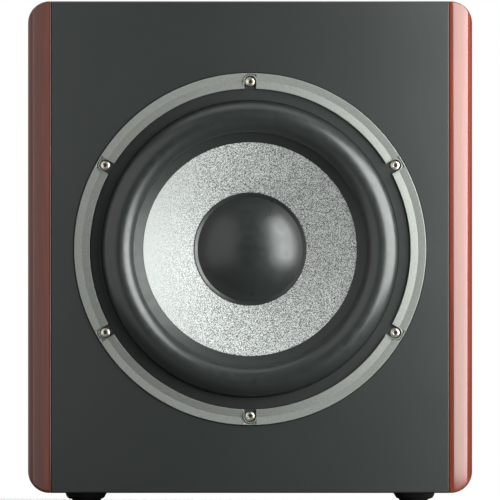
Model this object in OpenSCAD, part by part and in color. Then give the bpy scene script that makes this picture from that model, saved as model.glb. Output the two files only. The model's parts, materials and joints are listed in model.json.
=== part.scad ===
// Active studio subwoofer: a sealed box with wooden side panels, a long-throw
// woofer on the front and an amplifier with its controls on the back.
// Millimetres, +Z up, front towards -Y, origin under the middle of the box on the floor.

/* [Cabinet] */
// Width over both side panels
cab_w = 470; // [440:1:520]
// Height of the box without its feet
cab_h = 520; // [500:1:600]
// Depth of the box without what stands out at the back
cab_d = 420; // [400:1:500]
// Thickness of each wooden side panel
side_t = 24; // [22:1:30]
// Rounding radius of the side panels' outer edges
edge_r = 23; // [10:1:23]
// Thickness of the painted panels
panel_t = 22; // [18:1:25]
// Chamfer along the panels' front and back edges
edge_chamfer = 1.2; // [0.5:0.1:2]
// Height of the rubber feet
foot_h = 12; // [8:1:20]
// Radius of a foot where it meets the box
foot_r = 22; // [16:1:26]
// Sideways distance from the middle to a foot
foot_x = 174; // [150:1:180]
// Distance from the front and back of the box to a foot
foot_inset = 45; // [30:1:80]

/* [Woofer] */
// Height of the woofer's axis above the bottom of the box
woofer_z = 258; // [240:1:280]
// Outer radius of the metal trim ring
ring_ro = 186.2; // [184:0.1:190]
// Inner radius of the metal trim ring
ring_ri = 169.6; // [168:0.1:172]
// How far the trim ring stands proud of the front
ring_proud = 1.5; // [0.5:0.1:3]
// Radius of the circle that the woofer's screws lie on
screw_pcd_r = 177; // [176:0.5:178]
// Number of woofer screws
screw_count = 6; // [6:1:6]
// Outer radius of the surround's roll
roll_ro = 156; // [150:0.5:157]
// Inner radius of the surround's roll
roll_ri = 124.5; // [118:0.5:128]
// Height of the surround's roll
roll_h = 15; // [8:0.5:17]
// Outward slope of the cone, rise over run
cone_slope = 0.51; // [0.4:0.01:0.55]
// Radius of the dust cap's dome
cap_r = 55.5; // [40:0.5:60]
// Angle of the dome's edge
cap_angle = 37; // [30:1:60]
// Outer radius of the voice coil former
former_r = 33.2; // [25:0.1:35]

/* [Amplifier] */
// Width of the amplifier's plate
plate_w = 264; // [250:1:300]
// Height of the amplifier's plate
plate_h = 384; // [380:1:420]
// Thickness of the amplifier's plate
plate_t = 4; // [3:0.5:5]
// Depth of the housing behind the plate
housing_d = 90; // [86:1:100]
// How far the heat sink stands out
sink_proud = 22; // [15:1:30]
// Number of heat sink fins
fin_count = 17; // [9:2:19]
// Radius of the control knobs
knob_r = 9.5; // [8:0.5:12]
// Height of the control knobs
knob_h = 14; // [10:1:16]

/* [Hidden] */
$fn = 64;
eps = 0.5; // how far a cutter runs past the face it cuts
fit_gap = 0.1; // between curved faces that touch
glue_gap = 0.25; // between the moving cone and what is glued to it but stays rigid here

// Cabinet places
panel_w = cab_w - 2 * side_t;
z_low = foot_h;
z_high = foot_h + cab_h;
// The roll stands furthest forward and the heat sink furthest back
roll_foot_h = -1.6; // height of the roll's two ends over the front
front_proud = roll_foot_h + roll_h;
y_front = -(cab_d + sink_proud - front_proud) / 2;
y_back = y_front + cab_d;
z_driver = z_low + woofer_z;
z_amp = z_low + 260;
brace_y = y_front + 196;
brace_t = 18;
lining_t = 18;

// Woofer heights, measured forwards from the front of the baffle
flange_top = -2.5;
flange_t = 5;
gasket_t = 2.5;
rebate_h = flange_top - flange_t - gasket_t;
rebate_r = ring_ro + 0.6;
flange_ro = ring_ro - 1.7;
cutout_r = 168;
lip_t = 1.2; // rubber thickness
cone_ro = roll_ri + 0.5;
cone_t = 2;
cone_edge_h = -4.2;
neck_h = cone_edge_h - (cone_ro - former_r) * cone_slope;
lip_ri = 113; // inner edge of the surround's strip on the cone
cap_lip = 4.5; // width of the glued strip around the dome
plate_front = -92; // front of the magnet's top plate
top_plate_t = 10;
magnet_t = 36;
yoke_t = 12;
spider_h = -62;
spider_ri = former_r + glue_gap;
spider_ro = 97;
former_low = -111;
coil_high = -84;
coil_low = -110;
former_t = 0.6;
coil_t = 2;
terminal_w = 48;
terminal_h = 18;
pole_r = former_r - former_t - 1.0;
base_r = 104; // radius of the basket's foot
m6_r = 2.95;
m6_hole_r = 3.3;
m6_head_r = 5.5;
m6_head_h = 3.3;
insert_flange_t = 1.5;
notch_r = 6.2; // notch in the trim ring round a screw

// Amplifier places, seen from the back: +x right, +y up, +z out of the back
seal_t = 1.5;
cutout_w = 238;
cutout_h = 358;
housing_w = 230;
housing_h = 350;
housing_t = 2;
amp_screw_x = plate_w / 2 - 6;
amp_screw_y = plate_h / 2 - 6;
sink_w = 200;
sink_y0 = 8;
sink_h = 166;
sink_base = 6;
fin_t = 2.4;
input_y = -84;
output_y = -136;
socket_x = [-98, -58];
socket_w = 26;
socket_h = 31;
socket_depth = 22;
latch_y = 10.6;
knob_y = -32;
level_x = -98;
crossover_x = -58;
phase_x = -14;
led_x = 22;
jack_x = -14;
shaft_r = 3;
inlet_x = 68;
inlet_y = -132;
rocker_x = 68;
rocker_y = -78;
rocker_tilt = 7;
board_z = -50; // front of the power board
board_t = 1.6;
power_xs = [-66, -22, 22, 66]; // capacitors and transistors
toroid_x = 55;
toroid_y = -95;
toroid_h = 40;
cable_x = -60; // where the woofer's lead comes out of the housing
cable_y = -100;
cable_r = 3;
plate_corner_r = 6;
led_r = 2.5;
contact_places = [[-3.8, 1.4], [3.8, 1.4], [0, -4.6]]; // the poles of a three-pole socket

// ---- Shared shapes ----

// A flat rectangle about the origin with rounded corners
module rounded_rect(w, h, r) {
    square([w - 2 * r, h], center = true);
    square([w, h - 2 * r], center = true);
    for (x = [-1, 1], y = [-1, 1])
        translate([x * (w / 2 - r), y * (h / 2 - r)]) circle(r);
}

// A round ring between two heights
module ring(ro, ri, z0, z1) {
    translate([0, 0, z0]) difference() {
        cylinder(r = ro, h = z1 - z0, $fn = 96);
        translate([0, 0, -eps]) cylinder(r = ri, h = z1 - z0 + 2 * eps, $fn = 96);
    }
}

// Places its children on the woofer's axis: +z forwards out of the baffle, +y up
module at_woofer() {
    translate([0, y_front, z_driver]) rotate([90, 0, 0]) children();
}

// Places its children on the amplifier: +z out of the back, +y up, +x right seen from the back
module at_amp() {
    translate([0, y_back, z_amp]) rotate([90, 0, 180]) children();
}

// Repeats its children around the axis at the woofer's screws, the first one at the top
module at_driver_screws() {
    for (i = [0 : screw_count - 1])
        rotate(90 + i * 360 / screw_count) translate([screw_pcd_r, 0, 0]) children();
}

// A screw along z: its head sits on z = 0, its shank points to -z
module screw(shank_r, length, head_r, head_h, key_r) {
    difference() {
        union() {
            translate([0, 0, -length]) cylinder(r = shank_r, h = length);
            cylinder(r = head_r, h = head_h * 0.45);
            translate([0, 0, head_h * 0.45]) cylinder(r1 = head_r, r2 = head_r * 0.68, h = head_h * 0.55);
        }
        translate([0, 0, head_h * 0.4]) cylinder(r = key_r, h = head_h, $fn = 6);
    }
}

// A tube swept along a list of points, as one closed skin of rings
function unit(v) = v / norm(v);
function heading(p, i) =
    i == 0 ? unit(p[1] - p[0]) :
    i == len(p) - 1 ? unit(p[i] - p[i - 1]) : unit(p[i + 1] - p[i - 1]);
function ring_points(p, i, r, n, side) =
    let (t = heading(p, i), u = unit(cross(t, side)), v = cross(t, u))
    [for (k = [0 : n - 1]) p[i] + r * (cos(360 * k / n) * u + sin(360 * k / n) * v)];
module tube(p, r, n, side) {
    m = len(p);
    points = [for (i = [0 : m - 1]) each ring_points(p, i, r, n, side)];
    walls = [for (i = [0 : m - 2], k = [0 : n - 1])
        [i * n + k, (i + 1) * n + k, (i + 1) * n + (k + 1) % n, i * n + (k + 1) % n]];
    start = [for (k = [0 : n - 1]) k];
    finish = [for (k = [n - 1 : -1 : 0]) (m - 1) * n + k];
    polyhedron(points, concat(walls, [start], [finish]), convexity = 6);
}
// Points on a smooth curve from a to d, pulled towards b and c
function curve(a, b, c, d, steps) =
    [for (i = [0 : steps]) let (s = i / steps, q = 1 - s)
        q * q * q * a + 3 * q * q * s * b + 3 * q * s * s * c + s * s * s * d];

// ---- Cabinet ----

module front_baffle() {
    c = edge_chamfer;
    color("darkslategray") difference() {
        intersection() {
            translate([0, 0, z_low]) linear_extrude(cab_h) polygon([
                [-panel_w / 2 + c, y_front], [panel_w / 2 - c, y_front], [panel_w / 2, y_front + c],
                [panel_w / 2, y_front + panel_t], [-panel_w / 2, y_front + panel_t],
                [-panel_w / 2, y_front + c]]);
            rotate([90, 0, 90]) translate([0, 0, -panel_w / 2]) linear_extrude(panel_w) polygon([
                [y_front, z_low + c], [y_front + c, z_low], [y_front + panel_t, z_low],
                [y_front + panel_t, z_high], [y_front + c, z_high], [y_front, z_high - c]]);
        }
        at_woofer() {
            translate([0, 0, rebate_h]) cylinder(r = rebate_r, h = 20, $fn = 96);
            translate([0, 0, -panel_t - eps]) cylinder(r = cutout_r, h = panel_t, $fn = 96);
            at_driver_screws() translate([0, 0, -panel_t - eps]) cylinder(r = 4, h = panel_t);
        }
    }
}

module flat_panel(z0) {
    color("darkslategray")
        translate([-panel_w / 2, y_front + panel_t, z0]) cube([panel_w, cab_d - 2 * panel_t, panel_t]);
}

module top_panel() flat_panel(z_high - panel_t);

module bottom_panel() {
    color("darkslategray") difference() {
        flat_panel(z_low);
        at_feet() translate([0, 0, foot_h - eps]) cylinder(r = 1.9, h = 16 + eps);
    }
}

module back_panel() {
    c = edge_chamfer;
    color("darkslategray") difference() {
        translate([0, 0, z_low]) linear_extrude(cab_h) polygon([
            [-panel_w / 2, y_back - panel_t], [panel_w / 2, y_back - panel_t], [panel_w / 2, y_back - c],
            [panel_w / 2 - c, y_back], [-panel_w / 2 + c, y_back], [-panel_w / 2, y_back - c]]);
        at_amp() {
            translate([0, 0, -plate_t - seal_t]) linear_extrude(20)
                rounded_rect(plate_w + 1, plate_h + 1, plate_corner_r + 0.5);
            translate([0, 0, -panel_t - eps]) linear_extrude(panel_t) rounded_rect(cutout_w, cutout_h, 8);
            at_amp_screws() translate([0, 0, -18]) cylinder(r = 1.9, h = 18);
        }
    }
}

// Slab of thickness t and length l, with its two outer corners rounded
module rounded_slab(t, l, r) {
    intersection() {
        square([t, l]);
        union() {
            square([t - r, l]);
            translate([0, r]) square([t, l - 2 * r]);
            for (y = [r, l - r]) translate([t - r, y]) circle(r);
        }
    }
}

module side_panel() {
    inner = panel_w / 2;
    c = edge_chamfer;
    difference() {
        intersection() {
            translate([inner, y_front, z_low]) linear_extrude(cab_h) rounded_slab(side_t, cab_d, edge_r);
            translate([inner, y_back, z_low]) rotate([90, 0, 0]) linear_extrude(cab_d)
                rounded_slab(side_t, cab_h, edge_r);
        }
        for (y = [y_front, y_back])
            translate([inner, y, z_low - eps]) rotate(45)
                cube([c * sqrt(2), c * sqrt(2), 2 * (cab_h + 2 * eps)], center = true);
    }
}

module right_side_panel() color("firebrick") side_panel();

module left_side_panel() color("firebrick") mirror([1, 0, 0]) side_panel();

module window_brace() {
    color("burlywood") translate([0, brace_y + brace_t, z_low + cab_h / 2]) rotate([90, 0, 0])
        linear_extrude(brace_t) difference() {
            square([panel_w, cab_h - 2 * panel_t], center = true);
            rounded_rect(300, 350, 30);
        }
}

// Felt slabs on the walls in front of and behind the brace
module acoustic_lining() {
    front_y = [y_front + panel_t + 8, brace_y - 2];
    back_y = [brace_y + brace_t + 2, y_back - panel_t - 2];
    color("gray") for (span = [front_y, back_y]) {
        for (side = [-1, 1])
            translate([side > 0 ? panel_w / 2 - lining_t : -panel_w / 2, span[0], z_low + panel_t + 30])
                cube([lining_t, span[1] - span[0], cab_h - 2 * panel_t - 60]);
        for (z = [z_low + panel_t, z_high - panel_t - lining_t])
            translate([-150, span[0], z]) cube([300, span[1] - span[0], lining_t]);
    }
}

// Places its children on the floor under each foot
module at_feet() {
    for (x = [-foot_x, foot_x], y = [y_front + foot_inset, y_back - foot_inset])
        translate([x, y, 0]) children();
}

// A rounded shoulder over a narrower base, with a well for the screw's head
module rubber_feet() {
    shoulder = [[0, 0], [0.6, 0.9], [1.3, 3], [2.6, 5.2], [4.3, 6.2], [7.6, 7.2]]; // inwards, downwards
    base_r = foot_r - 8;
    color("black") at_feet() rotate_extrude($fn = 64) polygon(concat(
        [for (p = shoulder) [foot_r - p[0], foot_h - p[1]]],
        [[base_r, 0.5], [base_r - 0.5, 0], [7.6, 0], [7, 0.6], [7, 7], [2.1, 7], [2.1, foot_h]]));
}

module foot_screws() {
    color("silver") at_feet() translate([0, 0, 7]) rotate([180, 0, 0]) screw(1.85, 20, 4.5, 2.6, 1.6);
}

// ---- Woofer ----

module baffle_inserts() {
    color("silver") at_woofer() at_driver_screws() {
        ring(3.9, 3.0, -panel_t, rebate_h - 1);
        ring(8.4, 3.0, -panel_t - insert_flange_t, -panel_t);
    }
}

module trim_ring() {
    c = 0.6;
    color("gray") at_woofer() difference() {
        rotate_extrude($fn = 128) polygon([
            [ring_ri, flange_top], [ring_ro, flange_top], [ring_ro, ring_proud - c],
            [ring_ro - c, ring_proud], [ring_ri + c, ring_proud], [ring_ri, ring_proud - c]]);
        at_driver_screws() {
            translate([0, 0, flange_top - eps]) cylinder(r = notch_r, h = 10);
            translate([-20, -notch_r, flange_top - eps]) cube([20, 2 * notch_r, 10]);
        }
    }
}

module driver_screws() {
    color("silver") at_woofer() at_driver_screws()
        translate([0, 0, flange_top]) screw(m6_r, 22, m6_head_r, m6_head_h, 2.35);
}

// Wedge between two radii, centred on an angle, between two heights
module wedge(angle, width, ri, ro, z0, z1) {
    far = ro / cos(width / 2);
    translate([0, 0, z0]) rotate(angle) linear_extrude(z1 - z0) polygon([
        [ri * cos(width / 2), -ri * sin(width / 2)], [far * cos(width / 2), -far * sin(width / 2)],
        [far * cos(width / 2), far * sin(width / 2)], [ri * cos(width / 2), ri * sin(width / 2)]]);
}

module basket() {
    low = flange_top - flange_t;
    color("dimgray") at_woofer() difference() {
        union() {
            // Flange, conical wall, spider ledge and foot, one casting
            rotate_extrude($fn = 96) polygon([
                [157.5, flange_top], [flange_ro, flange_top], [flange_ro, low], [166, low], [152, -30],
                [base_r, -68], [base_r, plate_front], [60, plate_front], [60, plate_front + 8],
                [base_r - 6, plate_front + 8], [base_r - 6, spider_h - 4], [84, spider_h - 4],
                [84, spider_h], [base_r - 5, spider_h], [147, -28.5], [158.5, -12]]);
        }
        at_driver_screws() translate([0, 0, low - eps]) cylinder(r = m6_hole_r, h = flange_t + 2 * eps);
        for (i = [0 : 5]) {
            wedge(i * 60, 40, base_r + 6, 200, spider_h + 3, -24);
            wedge(i * 60, 40, base_r - 9, 200, plate_front + 10, spider_h - 7);
            rotate(i * 60 + 30) translate([75, 0, plate_front - eps]) cylinder(r = 2.7, h = 9);
        }
    }
}

module basket_gasket() {
    color("black") at_woofer() difference() {
        ring(flange_ro, cutout_r + 0.5, rebate_h, rebate_h + gasket_t);
        at_driver_screws()
            translate([0, 0, rebate_h - eps]) cylinder(r = m6_hole_r, h = gasket_t + 2 * eps);
    }
}

// Height of the cone's front at a radius
function cone_h(r) = cone_edge_h - (cone_ro - r) * cone_slope;

// Half-roll as a list of points at a distance off its middle line
function roll(offset, from, to, steps) =
    let (mid = (roll_ri + roll_ro) / 2, half = (roll_ro - roll_ri) / 2)
    [for (i = [0 : steps]) let (a = from + (to - from) * i / steps)
        [mid + (half + offset) * cos(a), roll_foot_h - lip_t + (roll_h + offset) * sin(a)]];

module surround() {
    color("black") at_woofer() rotate_extrude($fn = 128) polygon(concat(
        [[168.8, flange_top], [168.8, roll_foot_h], [roll_ro + 1.2, roll_foot_h]],
        roll(lip_t, 6, 174, 22),
        [[cone_ro - 1.2, cone_h(cone_ro - 1.2) + lip_t * 1.1], [lip_ri, cone_h(lip_ri) + 0.9],
            [lip_ri, cone_h(lip_ri) + glue_gap], [cone_ro, cone_h(cone_ro) + glue_gap]],
        roll(0, 174, 2, 22),
        [[roll_ro + 0.6, flange_top]]));
}

module cone() {
    drop = cone_t / cos(atan(cone_slope));
    color("silver") at_woofer() rotate_extrude($fn = 128) polygon([
        [former_r, neck_h], [cone_ro, cone_edge_h],
        [cone_ro, cone_edge_h - drop], [former_r, neck_h - drop]]);
}

module dust_cap() {
    sphere_r = cap_r / sin(cap_angle);
    wall = 1.2;
    steps = 14;
    base = cone_h(cap_r);
    function dome(r, top) = [for (i = [0 : steps]) let (a = top ? cap_angle * (1 - i / steps)
        : cap_angle * i / steps) [r * sin(a), base + 0.8 + r * cos(a) - sphere_r * cos(cap_angle)]];
    color("black") at_woofer() rotate_extrude($fn = 96) polygon(concat(
        [[cap_r + cap_lip, cone_h(cap_r + cap_lip)], [cap_r + cap_lip, cone_h(cap_r + cap_lip) + 0.8],
            [cap_r + 0.5, cone_h(cap_r + 0.5) + 1]],
        dome(sphere_r, true), dome(sphere_r - wall, false),
        [[cap_r - 1.2, cone_h(cap_r - 1.2)]]));
}

module coil_former() {
    color("peru") at_woofer() ring(former_r, former_r - former_t, former_low, neck_h + 2);
}

module voice_coil() {
    color("orange") at_woofer() ring(former_r + coil_t, former_r, coil_low, coil_high);
}

// Corrugated disc between the former and the basket's ledge
module spider() {
    thickness = 0.9;
    waves = 5;
    wave_ri = 39;
    wave_ro = 81;
    steps = 50;
    function wave(i) = let (s = i / steps)
        [wave_ri + (wave_ro - wave_ri) * s, spider_h + thickness + 2.2 * sin(360 * waves * s)];
    top = [for (i = [0 : steps]) wave(i)];
    color("goldenrod") at_woofer() rotate_extrude($fn = 96) polygon(concat(
        [[spider_ri, spider_h + 4], [spider_ri + thickness, spider_h + 4],
            [spider_ri + thickness, spider_h + thickness]],
        top, [[spider_ro, spider_h + thickness], [spider_ro, spider_h]],
        [for (i = [steps : -1 : 0]) [top[i][0], top[i][1] - thickness]],
        [[spider_ri, spider_h]]));
}

module top_plate() {
    color("silver") at_woofer() difference() {
        ring(88, former_r + coil_t + 1.2, plate_front - top_plate_t, plate_front);
        for (i = [0 : 5])
            rotate(i * 60 + 30) translate([75, 0, plate_front - 8]) cylinder(r = 2.55, h = 9);
    }
}

module magnet() {
    high = plate_front - top_plate_t;
    color("dimgray") at_woofer() ring(95, 50, high - magnet_t, high);
}

module yoke() {
    low = plate_front - top_plate_t - magnet_t;
    color("silver") at_woofer() difference() {
        union() {
            translate([0, 0, low - yoke_t]) cylinder(r = 88, h = yoke_t, $fn = 96);
            translate([0, 0, low]) cylinder(r = pole_r, h = plate_front + 1 - low, $fn = 96);
        }
        translate([0, 0, low - yoke_t - eps]) cylinder(r = 11, h = 100);
    }
}

module motor_screws() {
    color("silver") at_woofer() for (i = [0 : 5])
        rotate(i * 60 + 30) translate([75, 0, plate_front + 8]) screw(2.5, 15, 4.6, 4, 2);
}

// Two flexible leads from the back of the cone to the terminal block
module tinsel_leads() {
    color("goldenrod") at_woofer() for (side = [-1, 1]) {
        start = [side * 15, -68, cone_h(69.6) - 4.2];
        finish = [side * 20, -base_r - 4.5, plate_front + terminal_h + 1];
        tube(curve(start, start + [side * 8, -25, -8], finish + [side * 10, -34, 30], finish, 16),
            1.1, 8, [1, 0, 0]);
    }
}

module terminal_block() {
    color("black") at_woofer() difference() {
        translate([-terminal_w / 2, -base_r - 8, plate_front]) cube([terminal_w, 12, terminal_h]);
        translate([0, 0, plate_front - eps])
            cylinder(r = base_r + fit_gap, h = terminal_h + 2 * eps, $fn = 96);
    }
}

// Jacketed lead from the amplifier through the brace to the terminal block
module speaker_cable() {
    start = [0, y_front - plate_front + 0.5, z_driver - base_r - 4.5];
    finish = [-cable_x, y_back - housing_d, z_amp + cable_y];
    route = concat(
        curve(start, start + [0, 40, 0], [10, brace_y - 10, 150], [20, brace_y + 9, 150], 12),
        [for (p = curve([20, brace_y + 9, 150], [30, brace_y + 30, 150], finish - [0, 30, 0], finish, 12))
            if (p[1] > brace_y + 9.5) p]);
    color("black") tube(route, cable_r, 8, [1, 0, 0]);
}

// ---- Amplifier ----

// Repeats its children at the ten screws around the amplifier's plate
module at_amp_screws() {
    for (x = [-amp_screw_x, amp_screw_x], y = [-1, -1 / 3, 1 / 3, 1])
        translate([x, y * amp_screw_y, 0]) children();
    for (y = [-amp_screw_y, amp_screw_y]) translate([0, y, 0]) children();
}

// Repeats its children at the two inputs or the two outputs
module at_sockets(y) {
    for (x = socket_x) translate([x, y, 0]) children();
}

// The two screws of a socket's flange, in opposite corners
module at_socket_screws() {
    for (s = [-1, 1]) translate([s * 9.5, s * 12, 0]) children();
}

module amp_plate() {
    color("dimgray") at_amp() difference() {
        translate([0, 0, -plate_t]) linear_extrude(plate_t) rounded_rect(plate_w, plate_h, 6);
        translate([0, 0, -plate_t - eps]) {
            at_amp_screws() cylinder(r = 2.2, h = 10);
            for (y = [input_y, output_y]) at_sockets(y) {
                cylinder(r = 12, h = 10);
                at_socket_screws() cylinder(r = 1.3, h = 10);
            }
            for (x = socket_x) translate([x - 5, input_y + 10.5, 0]) cube([10, 4.7, 10]);
            for (x = [level_x, crossover_x]) translate([x, knob_y, 0]) cylinder(r = 3.6, h = 10);
            translate([jack_x, input_y, 0]) cylinder(r = 4.6, h = 10);
            translate([led_x, knob_y, 0]) cylinder(r = led_r, h = 10);
            translate([phase_x - 4.6, knob_y - 2.1, 0]) cube([9.2, 4.2, 10]);
            translate([inlet_x - 14.2, inlet_y - 16.2, 0]) cube([28.4, 32.4, 10]);
            for (s = [-1, 1]) translate([inlet_x + s * 20, inlet_y, 0]) cylinder(r = 1.3, h = 10);
            translate([rocker_x - 11.1, rocker_y - 13.6, 0]) cube([22.2, 27.2, 10]);
        }
    }
}

module amp_gasket() {
    color("black") at_amp() difference() {
        translate([0, 0, -plate_t - seal_t]) linear_extrude(seal_t) difference() {
            rounded_rect(plate_w, plate_h, 6);
            rounded_rect(cutout_w, cutout_h, 8);
        }
        translate([0, 0, -plate_t - seal_t - eps]) at_amp_screws() cylinder(r = 2.2, h = 4);
    }
}

module amp_screws() {
    color("silver") at_amp() at_amp_screws() screw(1.85, 16, 4, 2.2, 1.5);
}

module heat_sink() {
    pitch = (sink_w - fin_t) / (fin_count - 1);
    color("black") at_amp() translate([-sink_w / 2, sink_y0, 0]) {
        cube([sink_w, sink_h, sink_base]);
        for (i = [0 : fin_count - 1])
            translate([i * pitch, 0, sink_base]) cube([fin_t, sink_h, sink_proud - sink_base]);
    }
}

// Pressed steel tray that seals the electronics off from the box, with four pillars for the power board
module amp_housing() {
    front = -housing_d;
    color("silver") at_amp() {
        difference() {
            translate([0, 0, front]) linear_extrude(housing_d - plate_t)
                rounded_rect(housing_w, housing_h, 5);
            translate([0, 0, front + housing_t]) linear_extrude(housing_d)
                rounded_rect(housing_w - 2 * housing_t, housing_h - 2 * housing_t, 3);
            translate([cable_x, cable_y, front - eps]) cylinder(r = cable_r + 0.05, h = 5);
            translate([toroid_x, toroid_y, front - eps]) cylinder(r = 3.2, h = 5);
        }
        for (x = [-96, 96], y = [16, 156])
            translate([x, y, front + housing_t]) cylinder(r = 3.5, h = board_z - front - housing_t);
    }
}

module power_board() {
    color("darkgreen") at_amp() translate([-104, 8, board_z]) cube([208, 156, board_t]);
}

module control_board() {
    color("darkgreen") at_amp() translate([-112, -166, -socket_depth - board_t]) cube([116, 152, board_t]);
}

module transformer() {
    color("gold") at_amp() translate([toroid_x, toroid_y, -housing_d + housing_t]) rotate_extrude($fn = 96)
        translate([34, toroid_h / 2]) rounded_rect(32, toroid_h, 7);
}

module transformer_clamp() {
    washer_t = 1.5;
    nut_h = 4;
    top = -housing_d + housing_t + toroid_h;
    color("silver") at_amp() translate([toroid_x, toroid_y, 0]) {
        ring(30, 4, top, top + washer_t);
        translate([0, 0, -housing_d - nut_h]) cylinder(r = 3.1, h = top + washer_t + housing_d + nut_h);
        for (z = [top + washer_t, -housing_d - nut_h])
            translate([0, 0, z]) cylinder(r = 5.7, h = nut_h, $fn = 6);
    }
}

module capacitors() {
    color("navy") at_amp() for (x = power_xs)
        translate([x, 128, board_z + board_t]) cylinder(r = 15, h = 36);
}

module transistors() {
    color("black") at_amp() for (x = power_xs)
        translate([x - 8, 50, -plate_t - 5]) cube([16, 21, 5]);
}

// Mains inlet with its earth contact uppermost, and a drawer for the fuse under it
module mains_inlet() {
    color("black") at_amp() translate([inlet_x, inlet_y, 0]) difference() {
        union() {
            linear_extrude(3) rounded_rect(50, 36, 5);
            translate([-14, -16, -24]) cube([28, 32, 24.5]);
        }
        translate([0, 5.2, -14]) linear_extrude(30) polygon([
            [-12.2, -8.3], [12.2, -8.3], [12.2, 4.3], [8.2, 8.3], [-8.2, 8.3], [-12.2, 4.3]]);
        for (x = [-7, 0, 7])
            translate([x - 1, (x == 0 ? 7.2 : 3.2) - 2, -24 - eps]) cube([2, 4, 12]);
        translate([-11.2, -14, -20]) cube([22.4, 8.4, 30]);
        for (s = [-1, 1]) translate([s * 20, 0, -eps]) cylinder(r = 1.6, h = 10);
    }
}

module inlet_pins() {
    color("silver") at_amp() translate([inlet_x, inlet_y, 0]) for (x = [-7, 0, 7])
        translate([x - 1, (x == 0 ? 7.2 : 3.2) - 2, -32]) cube([2, 4, x == 0 ? 31 : 29.5]);
}

module fuse_drawer() {
    color("black") at_amp() translate([inlet_x, inlet_y - 9.8, 0]) difference() {
        union() {
            translate([-10.9, -3.9, -19]) cube([21.8, 7.8, 22]);
            translate([-4, -1.2, 3]) cube([8, 2.4, 1.4]);
        }
        translate([-10.1, -2.8, -17.5]) cube([20.2, 10, 5.6]);
        translate([-9, -2.8, -9]) cube([18, 10, 8]);
    }
}

module fuse() {
    color("silver") at_amp() translate([inlet_x - 10, inlet_y - 9.8 - 0.2, -14.7]) rotate([0, 90, 0])
        cylinder(r = 2.6, h = 20);
}

module switch_frame() {
    color("black") at_amp() translate([rocker_x, rocker_y, 0]) difference() {
        union() {
            linear_extrude(2) rounded_rect(26, 31, 2);
            translate([-11, -13.5, -18]) cube([22, 27, 18.5]);
        }
        translate([-8.6, -11.1, -11]) cube([17.2, 22.2, 20]);
        translate([-10.1, 0, -2]) rotate([0, 90, 0]) cylinder(r = 1.55, h = 20.2);
    }
}

module power_rocker() {
    color("black") at_amp() translate([rocker_x, rocker_y, -2]) rotate([-rocker_tilt, 0, 0]) {
        translate([-8, 0, 0]) rotate([90, 0, 90]) linear_extrude(16) polygon([
            [-10, 2], [-10.2, 6.4], [0, 4.6], [10.2, 6.4], [10, 2], [3, -4], [-3, -4]]);
        for (s = [-1, 1])
            translate([s * 8.9, 0, 0]) rotate([0, 90, 0]) cylinder(r = 1.5, h = 2, center = true);
    }
}

module knob() {
    flutes = 18;
    difference() {
        union() {
            translate([0, 0, 3]) cylinder(r = knob_r + 1.2, h = 2);
            translate([0, 0, 5]) cylinder(r = knob_r, h = knob_h - 4);
            translate([0, 0, knob_h + 1]) cylinder(r1 = knob_r, r2 = knob_r - 1, h = 1);
        }
        for (i = [0 : flutes - 1])
            rotate(i * 360 / flutes) translate([knob_r + 0.5, 0, 6.5]) cylinder(r = 0.9, h = knob_h);
        translate([0, 0, 2]) cylinder(r = shaft_r, h = knob_h - 2);
        translate([0, knob_r - 5, knob_h + 1.4]) translate([-0.6, 0, 0]) cube([1.2, 6, 2]);
    }
}

module control_shaft() translate([0, 0, -8]) cylinder(r = shaft_r, h = knob_h + 8);

module level_knob() color("black") at_amp() translate([level_x, knob_y, 0]) knob();

module crossover_knob() color("black") at_amp() translate([crossover_x, knob_y, 0]) knob();

module level_shaft() color("silver") at_amp() translate([level_x, knob_y, 0]) control_shaft();

module crossover_shaft() color("silver") at_amp() translate([crossover_x, knob_y, 0]) control_shaft();

module potentiometers() {
    color("silver") at_amp() for (x = [level_x, crossover_x]) translate([x, knob_y, 0]) difference() {
        union() {
            translate([-8, -8, -socket_depth]) cube([16, 16, socket_depth - 6]);
            translate([0, 0, -7]) cylinder(r = 3.5, h = 9.4);
        }
        translate([0, 0, -8.2]) cylinder(r = shaft_r + 0.05, h = 12);
    }
}

// Female three-pole socket: the plug's shell goes into the round groove
module input_sockets() {
    color("black") at_amp() at_sockets(input_y) difference() {
        union() {
            linear_extrude(2) rounded_rect(socket_w, socket_h, 3);
            translate([0, 0, -socket_depth]) cylinder(r = 11.9, h = socket_depth + 0.5);
            translate([-4.8, 10.5, -6]) cube([9.6, 4.5, 7]);
        }
        ring(9.6, 7.7, -14, 5);
        for (p = contact_places) translate([p[0], p[1], -13]) cylinder(r = 1.4, h = 20);
        translate([-3.7, latch_y - 0.3, -5]) cube([7.4, 3.9, 10]);
        at_socket_screws() translate([0, 0, -eps]) cylinder(r = 1.6, h = 5);
    }
}

module latch(x) {
    color("silver") at_amp() translate([x - 3.5, input_y + latch_y, -2]) cube([7, 3.3, 5.6]);
}

module left_latch() latch(socket_x[1]);

module right_latch() latch(socket_x[0]);

// Male three-pole socket: a round cup with three pins standing in it
module output_sockets() {
    color("black") at_amp() at_sockets(output_y) difference() {
        union() {
            linear_extrude(2) rounded_rect(socket_w, socket_h, 3);
            translate([0, 0, -socket_depth]) cylinder(r = 11.9, h = socket_depth + 0.5);
        }
        translate([0, 0, -14]) cylinder(r = 8.1, h = 20);
        for (p = contact_places) translate([p[0], p[1], -18]) cylinder(r = 1.2, h = 10);
        at_socket_screws() translate([0, 0, -eps]) cylinder(r = 1.6, h = 5);
    }
}

module output_pins() {
    color("gold") at_amp() at_sockets(output_y) for (p = contact_places)
        translate([p[0], p[1], -18]) {
            cylinder(r = 1.2, h = 15.4);
            translate([0, 0, 15.4]) cylinder(r1 = 1.2, r2 = 0.6, h = 0.8);
        }
}

module footswitch_jack() {
    color("silver") at_amp() translate([jack_x, input_y, 0]) difference() {
        union() {
            translate([-8, -8, -socket_depth]) cube([16, 16, socket_depth - plate_t]);
            translate([0, 0, -plate_t]) cylinder(r = 4.5, h = plate_t + 4);
        }
        translate([0, 0, -20]) cylinder(r = 3.2, h = 30);
    }
}

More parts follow.
